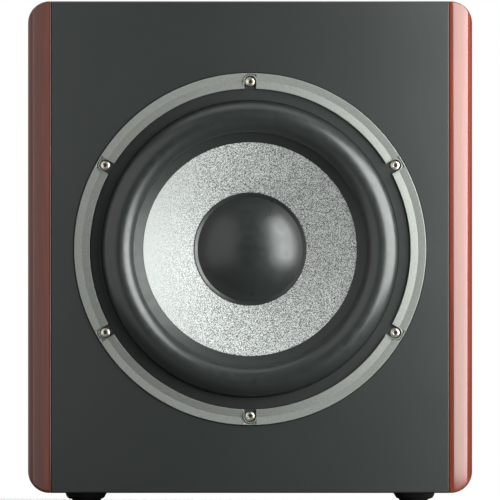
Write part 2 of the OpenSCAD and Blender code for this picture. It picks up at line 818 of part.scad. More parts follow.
// The small screws of the sockets and the inlet, and the nuts of the controls and the jack
module panel_fasteners() {
    color("silver") at_amp() {
        for (y = [input_y, output_y]) at_sockets(y) at_socket_screws()
            translate([0, 0, 2]) screw(1.25, 5.8, 2.7, 1.6, 1.1);
        for (s = [-1, 1]) translate([inlet_x + s * 20, inlet_y, 3]) screw(1.25, 6.5, 2.7, 1.6, 1.1);
        for (x = [level_x, crossover_x]) translate([x, knob_y, 0]) nut(5.6, 3.5);
        translate([jack_x, input_y, 0]) nut(7, 4.5);
    }
}

module nut(outer_r, hole_r) {
    difference() {
        cylinder(r = outer_r, h = 2.2, $fn = 6);
        translate([0, 0, -eps]) cylinder(r = hole_r, h = 4);
    }
}

module phase_switch() {
    color("white") at_amp() translate([phase_x, knob_y, 0]) {
        translate([-4.2, -1.7, -5]) cube([4.2, 3.4, 7.5]);
        translate([-4.4, -3, -7]) cube([4.6, 6, 2]);
    }
}

module phase_switch_body() {
    color("silver") at_amp() translate([phase_x, knob_y, 0]) difference() {
        translate([-9, -5, -socket_depth]) cube([18, 10, socket_depth - plate_t]);
        translate([-4.6, -3.2, -7.2]) cube([9.2, 6.4, 2.4]);
        translate([-4.6, -2.1, -5.2]) cube([9.2, 4.2, 4]);
    }
}

module status_led() {
    color("limegreen") at_amp() translate([led_x, knob_y, 0]) {
        translate([0, 0, -9]) cylinder(r = led_r, h = 9.6);
        translate([0, 0, 0.6]) cylinder(r1 = led_r, r2 = 1.3, h = 1.1);
    }
}

front_baffle();
top_panel();
bottom_panel();
back_panel();
left_side_panel();
right_side_panel();
window_brace();
acoustic_lining();
rubber_feet();
foot_screws();
baffle_inserts();
trim_ring();
driver_screws();
basket();
basket_gasket();
surround();
cone();
dust_cap();
coil_former();
voice_coil();
spider();
top_plate();
magnet();
yoke();
motor_screws();
tinsel_leads();
terminal_block();
speaker_cable();
amp_plate();
amp_gasket();
amp_screws();
heat_sink();
amp_housing();
power_board();
control_board();
transformer();
transformer_clamp();
capacitors();
transistors();
mains_inlet();
inlet_pins();
fuse_drawer();
fuse();
switch_frame();
power_rocker();
level_knob();
crossover_knob();
level_shaft();
crossover_shaft();
potentiometers();
input_sockets();
left_latch();
right_latch();
output_sockets();
output_pins();
footswitch_jack();
panel_fasteners();
phase_switch();
phase_switch_body();
status_led();
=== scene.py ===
"""Looks of an active studio subwoofer: a sealed box with lacquered wooden side panels, a long-throw
woofer in a screwed trim ring, and an amplifier with its controls on the back. Lengths are in metres."""

import json
import math

import bmesh
import bpy
import numpy as np
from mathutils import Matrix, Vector


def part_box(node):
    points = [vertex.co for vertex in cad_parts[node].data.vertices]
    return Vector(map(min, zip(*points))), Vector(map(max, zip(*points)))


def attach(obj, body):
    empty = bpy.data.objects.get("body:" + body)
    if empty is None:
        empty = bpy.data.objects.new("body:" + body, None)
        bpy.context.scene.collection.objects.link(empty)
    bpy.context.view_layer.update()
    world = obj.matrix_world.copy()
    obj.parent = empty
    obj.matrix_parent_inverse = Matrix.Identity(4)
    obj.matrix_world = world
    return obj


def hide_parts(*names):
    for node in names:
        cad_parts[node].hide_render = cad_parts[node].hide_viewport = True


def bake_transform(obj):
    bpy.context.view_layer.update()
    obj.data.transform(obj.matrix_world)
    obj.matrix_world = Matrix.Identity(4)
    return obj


bl_info = {
    "name": "Studio subwoofer",
    "version": (1, 0, 0),
    "blender": (4, 5, 0),
    "location": "View3D > Sidebar > Subwoofer",
    "description": "Builds the pieces, finishes and stage of an active studio subwoofer",
    "category": "Object",
}

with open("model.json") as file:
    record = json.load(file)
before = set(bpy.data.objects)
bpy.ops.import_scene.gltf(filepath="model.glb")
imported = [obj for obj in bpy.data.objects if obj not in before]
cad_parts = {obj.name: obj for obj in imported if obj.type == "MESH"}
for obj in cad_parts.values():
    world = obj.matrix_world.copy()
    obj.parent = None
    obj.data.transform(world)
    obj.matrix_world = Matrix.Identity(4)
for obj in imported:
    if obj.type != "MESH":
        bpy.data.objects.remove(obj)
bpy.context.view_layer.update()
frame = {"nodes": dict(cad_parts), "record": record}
MM = 0.001
FLAT = math.radians(0.4)  # faces this close to one plane are joined
EDGE_ANGLE = 32.0  # edges sharper than this, in degrees, are rounded


# ---- Places, worked out from the frame ----

def low(node):
    return np.array(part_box(node)[0])


def high(node):
    return np.array(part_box(node)[1])


Y_FRONT = low("front_baffle")[1]
Y_BACK = high("back_panel")[1]
Z_WOOFER = (low("trim_ring")[2] + high("trim_ring")[2]) / 2
Z_AMP = (low("amp_plate")[2] + high("amp_plate")[2]) / 2
RING_RADIUS = (high("trim_ring")[0] - low("trim_ring")[0]) / 2
CONE_RADIUS = (high("cone")[0] - low("cone")[0]) / 2
FORMER_RADIUS = (high("coil_former")[0] - low("coil_former")[0]) / 2
CONE_EDGE_H = Y_FRONT - low("cone")[1]
BODIES = {node: body for body, nodes in frame["record"]["behaviour"]["bodies"].items() for node in nodes}
SCREW_CIRCLE = 177 * MM
SCREW_ANGLES = np.radians(30 + 60 * np.arange(6))


def at_woofer(points):
    """Points on the woofer's axis, (x, up, height out of the baffle), to the row frame."""
    x, up, h = np.moveaxis(np.asarray(points, float), -1, 0)
    return np.stack([x, Y_FRONT - h, Z_WOOFER + up], -1)


def at_amplifier(points):
    """Points on the amplifier, (right seen from behind, up, height out of the back), to the row frame."""
    x, up, h = np.moveaxis(np.asarray(points, float), -1, 0)
    return np.stack([-x, Y_BACK + h, Z_AMP + up], -1)


# ---- Meshes from parametric grids ----

def cleaned(mesh, merge, sharp, join_flat=False):
    """Merges doubles, then joins flat faces or else turns faces outwards, and shades smooth except at
    edges over sharp degrees."""
    work = bmesh.new()
    work.from_mesh(mesh)
    bmesh.ops.remove_doubles(work, verts=work.verts, dist=merge)
    if join_flat:
        bmesh.ops.dissolve_limit(work, angle_limit=FLAT, verts=work.verts, edges=work.edges)
    else:
        bmesh.ops.recalc_face_normals(work, faces=work.faces)
    work.to_mesh(mesh)
    work.free()
    mesh.shade_smooth()
    mesh.set_sharp_from_angle(angle=math.radians(sharp))


def grid_faces(rows, columns, wrap_rows, wrap_columns):
    """Corner indices of the quads of a grid, which may close on itself in either direction."""
    r = np.arange(rows if wrap_rows else rows - 1)[:, None]
    c = np.arange(columns if wrap_columns else columns - 1)[None, :]
    r2, c2 = (r + 1) % rows, (c + 1) % columns
    corners = [r * columns + c, r2 * columns + c, r2 * columns + c2, r * columns + c2]
    return np.stack(corners, -1).reshape(-1, 4)


def linked(name, mesh):
    """A new object in the scene."""
    piece = bpy.data.objects.new(name, mesh)
    bpy.context.scene.collection.objects.link(piece)
    return piece


def new_piece(name, grids, sharp=38.0):
    """One object from several grids, each (points, wrap_rows, wrap_columns), with its points in an
    array of rows x columns x 3."""
    vertices, faces, count = [], [], 0
    for points, wrap_rows, wrap_columns in grids:
        rows, columns = points.shape[:2]
        faces.append(grid_faces(rows, columns, wrap_rows, wrap_columns) + count)
        vertices.append(points.reshape(-1, 3))
        count += rows * columns
    mesh = bpy.data.meshes.new(name)
    mesh.from_pydata(np.concatenate(vertices), [], np.concatenate(faces))
    cleaned(mesh, 1e-6, sharp)
    return linked(name, mesh)


def rounded(corners, radius, steps=5):
    """A closed outline with each corner replaced by the parabola through its two neighbours' tangents,
    (1-s)^2 start + 2 s (1-s) corner + s^2 end, reaching radius along each side at most."""
    corner = np.asarray(corners, float)
    radius = np.broadcast_to(np.asarray(radius, float), len(corner))[:, None]
    sides = []
    for neighbour in (np.roll(corner, 1, 0), np.roll(corner, -1, 0)):
        reach = np.linalg.norm(neighbour - corner, axis=1, keepdims=True)
        sides.append(corner + (neighbour - corner) * np.minimum(radius / reach, 0.45))
    s = np.linspace(0, 1, steps)[None, :, None]
    start, end = sides[0][:, None], sides[1][:, None]
    return ((1 - s) ** 2 * start + 2 * s * (1 - s) * corner[:, None] + s**2 * end).reshape(-1, 2)


def revolved(profile, steps):
    """Points of a closed outline (radius, height) turned round the axis: (r cos t, r sin t, h)."""
    profile = np.asarray(profile, float)
    t = np.linspace(0, 2 * np.pi, steps, endpoint=False)[:, None]
    r, h = profile[:, 0][None, :], profile[:, 1][None, :]
    return np.stack([r * np.cos(t), r * np.sin(t), h + 0 * t], -1)


def turned(points, angle):
    """Points turned about the third axis."""
    c, s = math.cos(angle), math.sin(angle)
    return points @ np.array([[c, s, 0], [-s, c, 0], [0, 0, 1]])


def swept(path, radius, sides):
    """Rings of the given radius square to a path, each centred on it: p + r (u cos t + v sin t)."""
    path = np.asarray(path, float)
    along = np.gradient(path, axis=0)
    along /= np.linalg.norm(along, axis=1, keepdims=True)
    u = np.cross(along, (1.0, 0.0, 0.0))
    u /= np.linalg.norm(u, axis=1, keepdims=True)
    v = np.cross(along, u)
    t = np.linspace(0, 2 * np.pi, sides, endpoint=False)[None, :, None]
    rings = path[:, None] + radius * (u[:, None] * np.cos(t) + v[:, None] * np.sin(t))
    ends = [np.broadcast_to(path[i], (1, sides, 3)) for i in (0, -1)]
    return np.concatenate([ends[0], rings, ends[1]])


def curve(a, b, c, d, steps):
    """Points on the cubic curve from a to d, pulled towards b and c."""
    s = np.linspace(0, 1, steps + 1)[:, None]
    a, b, c, d = (np.asarray(p, float) for p in (a, b, c, d))
    return (1 - s) ** 3 * a + 3 * (1 - s) ** 2 * s * b + 3 * (1 - s) * s**2 * c + s**3 * d


def slab(width, height, bottom, top, corner, edge):
    """A flat plate with rounded corners and a rounded top edge, as rings of its outline stacked
    inwards: the outline at each level is the plate's, drawn in by edge (1 - sin a) as a rises."""
    half = np.array([width, height]) / 2
    signs = np.array([[1, 1], [-1, 1], [-1, -1], [1, -1]])
    turn = np.linspace(0, np.pi / 2, 7)
    rise = np.linspace(0, np.pi / 2, 5)
    inset = np.concatenate([[min(half) * 0.98, 0, 0], edge * (1 - np.cos(rise)), [min(half) * 0.98]])
    level = np.concatenate([[bottom, bottom, top - edge], top - edge + edge * np.sin(rise), [top]])
    rings = []
    for k in range(4):
        direction = np.stack([np.cos(turn + k * np.pi / 2), np.sin(turn + k * np.pi / 2)], -1)
        radius = np.maximum(corner - inset, 1e-5)[:, None, None]
        centre = signs[k] * (half - np.maximum(corner, inset)[:, None])
        rings.append(centre[:, None] + radius * direction[None])
    flat = np.concatenate(rings, axis=1)
    return np.concatenate([flat, np.broadcast_to(level[:, None, None], flat.shape[:2] + (1,))], -1)


# ---- Giving pieces their place, finish and edges ----

def fit(piece, body, finish_name, node=None):
    """Rides a piece on a body, gives it a finish, and lets it stand for a CAD node."""
    piece.data.materials.clear()
    piece.data.materials.append(finish(finish_name))
    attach(piece, body)
    if node:
        stand_for(node)
    return piece


def stand_for(node):
    """Hides a CAD node, whose place a new piece takes."""
    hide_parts(node)


def round_edges(piece, width):
    edge = piece.modifiers.new("rounded edges", "BEVEL")
    edge.width = width
    edge.segments = 2
    edge.limit_method = "ANGLE"
    edge.angle_limit = math.radians(EDGE_ANGLE)
    edge.use_clamp_overlap = False
    edge.harden_normals = True
    edge.miter_outer = "MITER_ARC"


def softened(node, finish_name, width):
    """A copy of a CAD node with its doubles merged, its flat faces joined and its edges rounded."""
    mesh = frame["nodes"][node].data.copy()
    for extra in ("custom_normal", "sharp_edge", "sharp_face"):
        if extra in mesh.attributes:
            mesh.attributes.remove(mesh.attributes[extra])
    cleaned(mesh, 2e-6, EDGE_ANGLE, join_flat=True)
    piece = linked(node + "_shell", mesh)
    if width:
        round_edges(piece, width)
    return fit(piece, BODIES[node], finish_name, node)


def soften_all(rows):
    """Softens CAD nodes, from rows of node, finish and width of the rounded edges in millimetres."""
    for node, finish_name, width in rows:
        softened(node, finish_name, width * MM)


def refinish(node, finish_name):
    """A CAD node whose shape is right keeps it, and gets a better finish."""
    for held in frame["nodes"][node].material_slots:
        held.material = finish(finish_name)


# ---- Finishes ----

def add_node(tree, kind, values=None, **settings):
    """A shader node with settings of its own, and a value or a link at each named input."""
    node = tree.nodes.new("ShaderNode" + kind)
    for name, value in settings.items():
        setattr(node, name, value)
    for socket, value in (values or {}).items():
        if isinstance(value, bpy.types.NodeSocket):
            tree.links.new(value, node.inputs[socket])
        else:
            node.inputs[socket].default_value = value
    return node


def mixed(tree, share, first, second):
    """A shader that goes from the first to the second as share goes from 0 to 1."""
    return add_node(tree, "MixShader", {"Fac": share, 1: first, 2: second}).outputs[0]


class Finish:
    """A Principled material whose patterns read Object coordinates, in metres."""

    def __init__(self, name, color, roughness, **sockets):
        self.material = bpy.data.materials.new(name)
        self.material.use_nodes = True
        self.tree = self.material.node_tree
        self.shader = self.tree.nodes["Principled BSDF"]
        self.shader.inputs["Base Color"].default_value = (*color, 1)
        self.shader.inputs["Roughness"].default_value = roughness
        for socket, value in sockets.items():
            title = socket.replace("_", " ").title().replace("Ior", "IOR")
            self.shader.inputs[title].default_value = value
        self.place = self.add("TexCoord").outputs["Object"]
        self.normal = None

    def add(self, kind, values=None, **settings):
        return add_node(self.tree, kind, values, **settings)

    def feed(self, socket, value):
        self.tree.links.new(value, self.shader.inputs[socket])

    def stretched(self, stretch, turn=(0, 0, 0)):
        """Object coordinates scaled along each axis, and turned first."""
        values = {"Scale": stretch, "Rotation": turn, "Vector": self.place}
        return self.add("Mapping", values).outputs["Vector"]

    def noise(self, size, detail, stretch=None, rough=0.5, distortion=0.0):
        """Noise whose blotches are about size metres across."""
        return self.add("TexNoise", {
            "Scale": 1 / size, "Detail": detail, "Roughness": rough, "Distortion": distortion,
            "Vector": self.stretched(stretch) if stretch else self.place}).outputs["Fac"]

    def waves(self, size, direction, distortion=0.0, turn=(0, 0, 0)):
        """Bands that repeat every size metres."""
        values = {"Scale": math.pi / 10 / size, "Distortion": distortion,
                  "Vector": self.stretched((1, 1, 1), turn)}
        return self.add("TexWave", values, bands_direction=direction).outputs["Fac"]

    def sideways(self):
        """How far right of the middle a point is, in metres."""
        return self.add("SeparateXYZ", {0: self.place}).outputs["X"]

    def ranged(self, value, start, end, low, high):
        """A value carried from start..end to low..high, held at the ends."""
        return self.add("MapRange", {"From Min": start, "From Max": end, "To Min": low, "To Max": high,
                                     "Value": value}).outputs["Result"]

    def product(self, a, b):
        return self.add("Math", {0: a, 1: b}, operation="MULTIPLY").outputs[0]

    def colours(self, value, stops):
        """Base colour read from a ramp of (position, colour) stops."""
        node = self.add("ValToRGB", {"Fac": value})
        points = node.color_ramp.elements
        while len(points) < len(stops):
            points.new(0.5)
        for point, (position, color) in zip(points, stops):
            point.position = position
            point.color = (*color, 1)
        self.feed("Base Color", node.outputs["Color"])

    def tint(self, value, color, blend="MULTIPLY"):
        """Blends what feeds the base colour with one more colour, by value."""
        fed = self.shader.inputs["Base Color"].links[0].from_socket
        node = self.add("Mix", data_type="RGBA", blend_type=blend)
        self.tree.links.new(value, node.inputs[0])
        self.tree.links.new(fed, node.inputs[6])
        node.inputs[7].default_value = (*color, 1)
        self.feed("Base Color", node.outputs[2])

    def roughness(self, value, low, high):
        self.feed("Roughness", self.ranged(value, 0.3, 0.7, low, high))

    def bump(self, value, height):
        """Raises the surface by value times height metres, on top of any bump before it."""
        values = {"Strength": 1.0, "Distance": height, "Height": value}
        if self.normal:
            values["Normal"] = self.normal
        self.normal = self.add("Bump", values).outputs["Normal"]
        self.feed("Normal", self.normal)
        return self


def shade(color, factor):
    return tuple(channel * factor for channel in color)


def speckled(name, color, roughness, size, spread, height, **sockets):
    """Paint, plastic, rubber or cast metal with a fine grain: colour, roughness and height vary together."""
    made = Finish(name, color, roughness, **sockets)
    grain = made.noise(size, 3)
    made.colours(grain, [(0.3, shade(color, 1 - spread)), (0.7, shade(color, 1 + spread))])
    made.roughness(made.noise(size * 9, 3), roughness - 0.05, roughness + 0.06)
    return made.bump(grain, height).material


def panel_paint(name="panel_paint", gloss=0.82, duller=0.0):
    """Satin textured paint: small rounded dimples in a dark grey with a green cast."""
    settings = bpy.context.scene.subwoofer_colours
    rough = settings.paint_roughness + duller
    made = Finish(name, settings.paint, rough, specular_ior_level=gloss)
    dimples = made.noise(1.1 * MM, 2, rough=0.6)
    clouds = made.noise(60 * MM, 3)
    made.colours(dimples, [(0.32, shade(settings.paint, 0.82)), (0.68, shade(settings.paint, 1.2))])
    made.tint(made.ranged(clouds, 0.35, 0.65, 0, 0.2), (0.9, 0.91, 0.905))
    made.roughness(clouds, rough - 0.012, rough + 0.012)
    return made.bump(dimples, 0.04 * MM).material


def veneer():
    """Red wood under gloss lacquer: fibres drawn out along the height, darker pores, wide soft figure."""
    wood = bpy.context.scene.subwoofer_colours.wood
    made = Finish("veneer", wood, 0.42, specular_ior_level=0.12, coat_weight=0.95, coat_roughness=0.09,
                  coat_ior=1.5)
    fibres = made.noise(1.6 * MM, 4, stretch=(1, 1, 0.03), rough=0.6)
    pores = made.noise(0.7 * MM, 2, stretch=(1, 1, 0.02), rough=0.7)
    figure = made.noise(55 * MM, 3, stretch=(1, 1, 0.12), distortion=0.4)
    made.colours(fibres, [(0.28, shade(wood, 0.7)), (0.55, wood), (0.75, shade(wood, 1.35))])
    made.tint(made.ranged(figure, 0.35, 0.65, 0, 0.55), (0.72, 0.62, 0.6))
    made.tint(made.ranged(pores, 0.62, 0.72, 0, 0.45), (0.35, 0.28, 0.28))
    made.roughness(fibres, 0.36, 0.5)
    return made.bump(pores, -0.015 * MM).material


def ring_metal():
    """Fine sand-blasted grey metal with a metallic sparkle."""
    grey = bpy.context.scene.subwoofer_colours.ring
    made = Finish("ring_metal", grey, 0.55, metallic=0.42)
    grain = made.noise(0.8 * MM, 3, rough=0.7)
    made.colours(grain, [(0.3, shade(grey, 0.72)), (0.5, grey), (0.7, shade(grey, 1.3))])
    made.roughness(made.noise(1.3 * MM, 2), 0.48, 0.62)
    return made.bump(grain, 0.03 * MM).material


def glass_fibre():
    """Woven glass fibre under resin: dark and light flecks a millimetre across, which lie at many angles,
    so that they sparkle. Towards the left the flecks are blended into an even grey, a painted highlight."""
    grey = bpy.context.scene.subwoofer_colours.cone
    made = Finish("glass_fibre", grey, 0.55, metallic=0.15, coat_weight=0.25, coat_roughness=0.4)
    flecks = made.noise(0.95 * MM, 2, rough=0.65)
    fine = made.noise(0.5 * MM, 1)
    made.colours(flecks, [(0.42, shade(grey, 0.12)), (0.5, shade(grey, 0.92)), (0.58, shade(grey, 2.0))])
    made.tint(made.ranged(fine, 0.4, 0.7, 0, 0.4), (0.6, 0.6, 0.61))
    # painted highlight: the flecks fade into an even grey towards the left, where the key light washes the
    # cone out
    made.tint(made.ranged(made.sideways(), -110 * MM, -30 * MM, 0.9, 0), shade(grey, 0.98), "MIX")
    made.roughness(flecks, 0.5, 0.7)
    return made.bump(flecks, 0.3 * MM).material


def steel(name, color, roughness, size):
    """Bright metal with faint smears and hairline scratches."""
    made = Finish(name, color, roughness, metallic=1.0)
    smears = made.noise(size * 4, 3)
    hairs = made.noise(0.35 * MM, 2, stretch=(1, 1, 0.08))
    made.colours(smears, [(0.35, shade(color, 0.88)), (0.65, shade(color, 1.06))])
    made.roughness(smears, roughness - 0.05, roughness + 0.08)
    return made.bump(hairs, 0.004 * MM).material


def felt_finish():
    """Matted fibres: tufts, finer hairs across them, and a soft edge sheen."""
    made = Finish("felt", (0.24, 0.24, 0.25), 0.95, sheen_weight=0.5, sheen_roughness=0.5)
    tufts = made.noise(5 * MM, 4, distortion=1.2)
    hairs = made.noise(0.8 * MM, 3, stretch=(1, 0.3, 1))
    made.colours(hairs, [(0.3, (0.14, 0.14, 0.15)), (0.5, (0.26, 0.26, 0.27)), (0.7, (0.42, 0.41, 0.40))])
    made.tint(made.ranged(tufts, 0.35, 0.65, 0, 0.4), (0.7, 0.7, 0.72))
    return made.bump(tufts, 1.2 * MM).bump(hairs, 0.3 * MM).material


def spider_finish():
    """Resin-stiffened cloth: a fine square weave."""
    made = Finish("spider_cloth", (0.42, 0.24, 0.07), 0.8)
    weave = made.product(made.waves(0.6 * MM, "X"), made.waves(0.6 * MM, "Z"))
    made.colours(weave, [(0.1, (0.27, 0.14, 0.04)), (0.6, (0.52, 0.32, 0.11))])
    made.tint(made.ranged(made.noise(9 * MM, 3), 0.35, 0.7, 0, 0.4), (0.7, 0.62, 0.5))
    return made.bump(weave, 0.12 * MM).material


def board_finish():
    """Green circuit board: tracks show as faint lighter bands under the solder resist."""
    made = Finish("circuit_board", (0.012, 0.11, 0.045), 0.32, coat_weight=0.4, coat_roughness=0.15)
    tracks = made.product(made.waves(2.5 * MM, "X", 3.0), made.waves(3.4 * MM, "Z", 2.0))
    made.colours(tracks, [(0.2, (0.008, 0.075, 0.03)), (0.45, (0.02, 0.15, 0.06))])
    made.tint(made.ranged(made.noise(20 * MM, 3), 0.35, 0.65, 0, 0.3), (0.8, 0.85, 0.8))
    return made.bump(tracks, 0.03 * MM).material


def winding_finish():
    """Yellow polyester tape over copper windings: overlapping turns and a faint wrinkle."""
    made = Finish("winding_tape", (0.55, 0.38, 0.04), 0.3, coat_weight=0.5, coat_roughness=0.2)
    wrinkles = made.noise(3 * MM, 3, stretch=(1, 0.25, 1))
    made.colours(wrinkles, [(0.3, (0.36, 0.21, 0.02)), (0.7, (0.66, 0.48, 0.07))])
    made.roughness(wrinkles, 0.22, 0.4)
    return made.bump(wrinkles, 0.15 * MM).material


def copper_finish():
    made = Finish("copper_wire", (0.72, 0.27, 0.13), 0.25, metallic=1.0, coat_weight=0.6, coat_roughness=0.1)
    turns = made.waves(0.5 * MM, "Y")
    made.colours(turns, [(0.1, (0.42, 0.12, 0.05)), (0.7, (0.85, 0.36, 0.18))])
    return made.bump(turns, 0.12 * MM).material


def braid_finish():
    made = Finish("tinsel_braid", (0.62, 0.38, 0.2), 0.38, metallic=1.0)
    left, right = (made.waves(0.7 * MM, "X", turn=(0, way, 0)) for way in (0.7, -0.7))
    strands = made.product(left, right)
    made.colours(strands, [(0.1, (0.3, 0.15, 0.07)), (0.6, (0.75, 0.5, 0.28))])
    return made.bump(strands, 0.15 * MM).material


def glass_finish():
    """Clear glass with faint draw lines, seen through to the fuse wire."""
    made = Finish("fuse_glass", (0.9, 0.94, 0.93), 0.05, transmission_weight=0.85, ior=1.5)
    lines = made.noise(1.2 * MM, 2, stretch=(0.05, 1, 1))
    made.roughness(lines, 0.03, 0.14)
    made.colours(lines, [(0.3, (0.80, 0.87, 0.86)), (0.7, (0.95, 0.97, 0.97))])
    return made.material


def light_finish():
    made = Finish("green_lens", (0.05, 0.5, 0.1), 0.18, transmission_weight=0.3,
                  emission_color=(0.1, 1.0, 0.2, 1), emission_strength=1.6)
    haze = made.noise(1.5 * MM, 2)
    made.colours(haze, [(0.3, (0.04, 0.42, 0.08)), (0.7, (0.08, 0.62, 0.15))])
    made.roughness(haze, 0.12, 0.26)
    return made.material


def wood_board_finish():
    """Raw fibreboard: short pale fibres pressed together."""
    made = Finish("raw_board", (0.50, 0.35, 0.2), 0.8)
    fibres = made.noise(1.5 * MM, 4, stretch=(1, 1, 0.4), distortion=0.8)
    made.colours(fibres, [(0.3, (0.36, 0.23, 0.12)), (0.7, (0.62, 0.46, 0.29))])
    return made.bump(fibres, 0.1 * MM).material


# Material, colour or the setting that holds it, roughness, size of the grain and spread of its colour,
# height of the grain, other sockets. Sizes are in millimetres.
SPECKLED = {
    "surround": ("surround_rubber", "rubber", 0.33, 0.9, 0.12, 0.004, {"specular_ior_level": 0.64}),
    "strip": ("strip_rubber", "rubber", 0.42, 0.9, 0.12, 0.01, {"specular_ior_level": 0.42}),
    # painted shade: the baffle's side chamfers in dark brown, for the shadow in the groove against the side
    # panels
    "joint": ("joint_stain", (0.028, 0.011, 0.008), 0.8, 0.9, 0.12, 0.01, {"specular_ior_level": 0.15}),
    "rim": ("rim_rubber", (0.0175, 0.0200, 0.0190), 0.85, 0.9, 0.12, 0.02, {"specular_ior_level": 0.3}),
    "socket": ("socket_shadow", (0.10, 0.072, 0.045), 0.6, 0.9, 0.12, 0.01, {}),
    "cap": ("cap_skin", "rubber", 0.32, 0.9, 0.12, 0.004, {"specular_ior_level": 0.65}),
    "foot": ("foot_rubber", (0.016, 0.015, 0.015), 0.6, 0.9, 0.12, 0.04, {}),
    "seal": ("seal_rubber", (0.02, 0.02, 0.02), 0.8, 0.9, 0.12, 0.06, {}),
    "jacket": ("cable_jacket", (0.018, 0.018, 0.018), 0.45, 0.9, 0.12, 0.02, {}),
    "cast": ("cast_frame", (0.02, 0.021, 0.021), 0.55, 1.6, 0.3, 0.12, {}),
    "ferrite": ("ferrite", (0.045, 0.046, 0.05), 0.6, 3, 0.35, 0.15, {}),
    "plastic": ("black_plastic", (0.02, 0.02, 0.021), 0.42, 0.7, 0.2, 0.02, {}),
    "knob": ("knob_plastic", (0.022, 0.022, 0.023), 0.5, 0.5, 0.25, 0.03, {}),
    "plate": ("plate_paint", (0.030, 0.033, 0.033), 0.45, 0.9, 0.25, 0.05, {"metallic": 0.15}),
    "anodised": ("black_anodised", (0.034, 0.034, 0.036), 0.38, 0.4, 0.25, 0.01, {"metallic": 0.6}),
    "sleeve": ("capacitor_sleeve", (0.012, 0.02, 0.075), 0.25, 4, 0.25, 0.03, {"coat_weight": 0.5}),
    "former": ("former_film", (0.42, 0.2, 0.05), 0.35, 3, 0.2, 0.02, {}),
    "print": ("white_print", (0.62, 0.63, 0.63), 0.55, 0.4, 0.08, 0.01, {}),
}
# Material, colour, roughness, size of the smears in millimetres.
STEELS = {
    "screw": ("screw_steel", (0.72, 0.68, 0.6), 0.3, 2),
    "zinc": ("zinc_steel", (0.62, 0.61, 0.57), 0.32, 2),
    "nickel": ("nickel", (0.70, 0.67, 0.62), 0.16, 1.5),
    "gold": ("gold_plate", (0.88, 0.62, 0.25), 0.15, 1.5),
    "sheet_steel": ("sheet_steel", (0.56, 0.57, 0.57), 0.38, 12),
}
PATTERNED = {
    "paint": panel_paint,
    "matte_paint": lambda: panel_paint("matte_paint", gloss=0.4, duller=0.13),
    "veneer": veneer,
    "ring": ring_metal,
    "glass_fibre": glass_fibre,
    "felt": felt_finish,
    "spider": spider_finish,
    "board": board_finish,
    "winding": winding_finish,
    "copper": copper_finish,
    "braid": braid_finish,
    "glass": glass_finish,
    "light": light_finish,
    "raw_board": wood_board_finish,
}
FINISHES = {}


def finish(name):
    """The finish of that name, made the first time it is asked for."""
    if name not in FINISHES:
        if name in SPECKLED:
            title, color, roughness, size, spread, height, sockets = SPECKLED[name]
            if isinstance(color, str):
                color = getattr(bpy.context.scene.subwoofer_colours, color)
            FINISHES[name] = speckled(title, color, roughness, size * MM, spread, height * MM, **sockets)
        elif name in STEELS:
            title, color, roughness, size = STEELS[name]
            FINISHES[name] = steel(title, color, roughness, size * MM)
        else:
            FINISHES[name] = PATTERNED[name]()
    return FINISHES[name]


# ---- Cabinet ----

def side_panel(side, sizes):
    """A board whose outer face falls away in a quarter circle along all four edges. With a and b for how
    far a point is into the edge band along each direction, 0 to 1, the face stands at
    sqrt(1 - max(a, b)^2) of the edge radius, and near a corner the point is drawn in by
    max(a, b) / (a^n + b^n)^(1/n), which softens the mitre. A short straight edge and a small bevel
    lead to the flat inner face."""
    node = side + "_side_panel"
    lo, hi = low(node), high(node)
    radius, bevel = sizes.panel_edge_radius, 0.8 * MM
    half = (hi[1:] - lo[1:]) / 2
    middle = (hi[1:] + lo[1:]) / 2
    bend = np.sin(np.linspace(np.pi / 2, 0, 22))
    into = np.concatenate([bend, bend[::-1]])
    way = np.repeat([-1.0, 1.0], len(bend))
    a, b = into[:, None], into[None, :]
    reach = np.maximum(a, b)
    n = sizes.panel_corner_power
    soften = np.where(reach > 0, reach / np.maximum((a**n + b**n) ** (1 / n), 1e-9), 1)
    y = way[:, None] * (half[0] - radius + radius * a * soften)
    z = way[None, :] * (half[1] - radius + radius * b * soften)
    thick = hi[0] - lo[0]
    x = thick - radius + radius * np.sqrt(np.maximum(1 - reach**2, 0))
    outer = np.pad(np.stack([x, y, z], -1), ((2, 2), (2, 2), (0, 0)), mode="edge")
    ring = np.minimum(*np.meshgrid(*[np.minimum(np.arange(s), np.arange(s)[::-1]) for s in outer.shape[:2]],
                                   indexing="ij"))
    shrink = 1 - bevel * 0.5 / half
    outer[..., 0] = np.where(ring == 0, 0, np.where(ring == 1, bevel, outer[..., 0]))
    outer[..., 1:] = np.where((ring == 0)[..., None], outer[..., 1:] * shrink, outer[..., 1:])
    inner = np.stack([0 * x, y * shrink[0], z * shrink[1]], -1)
    grids = []
    for points in (outer, inner):
        placed = points + np.array([0, *middle])
        placed[..., 0] = hi[0] - thick + points[..., 0] if side == "right" else lo[0] + thick - points[..., 0]
        grids.append((placed, False, False))
    return fit(new_piece(node + "_board", grids, 40), "root", "veneer", node)


def in_chamfer(x, y, z):
    """Whether points are on the front baffle's side chamfers."""
    return (np.abs(x) > 210 * MM) & (y < Y_FRONT + 1.1 * MM)


FOOT_RADIUS = 22 * MM


def feet_points():
    (x0, y0, _), (x1, y1, _) = low("rubber_feet") + FOOT_RADIUS, high("rubber_feet") - FOOT_RADIUS
    return [(x, y) for x in (x0, x1) for y in (y0, y1)]


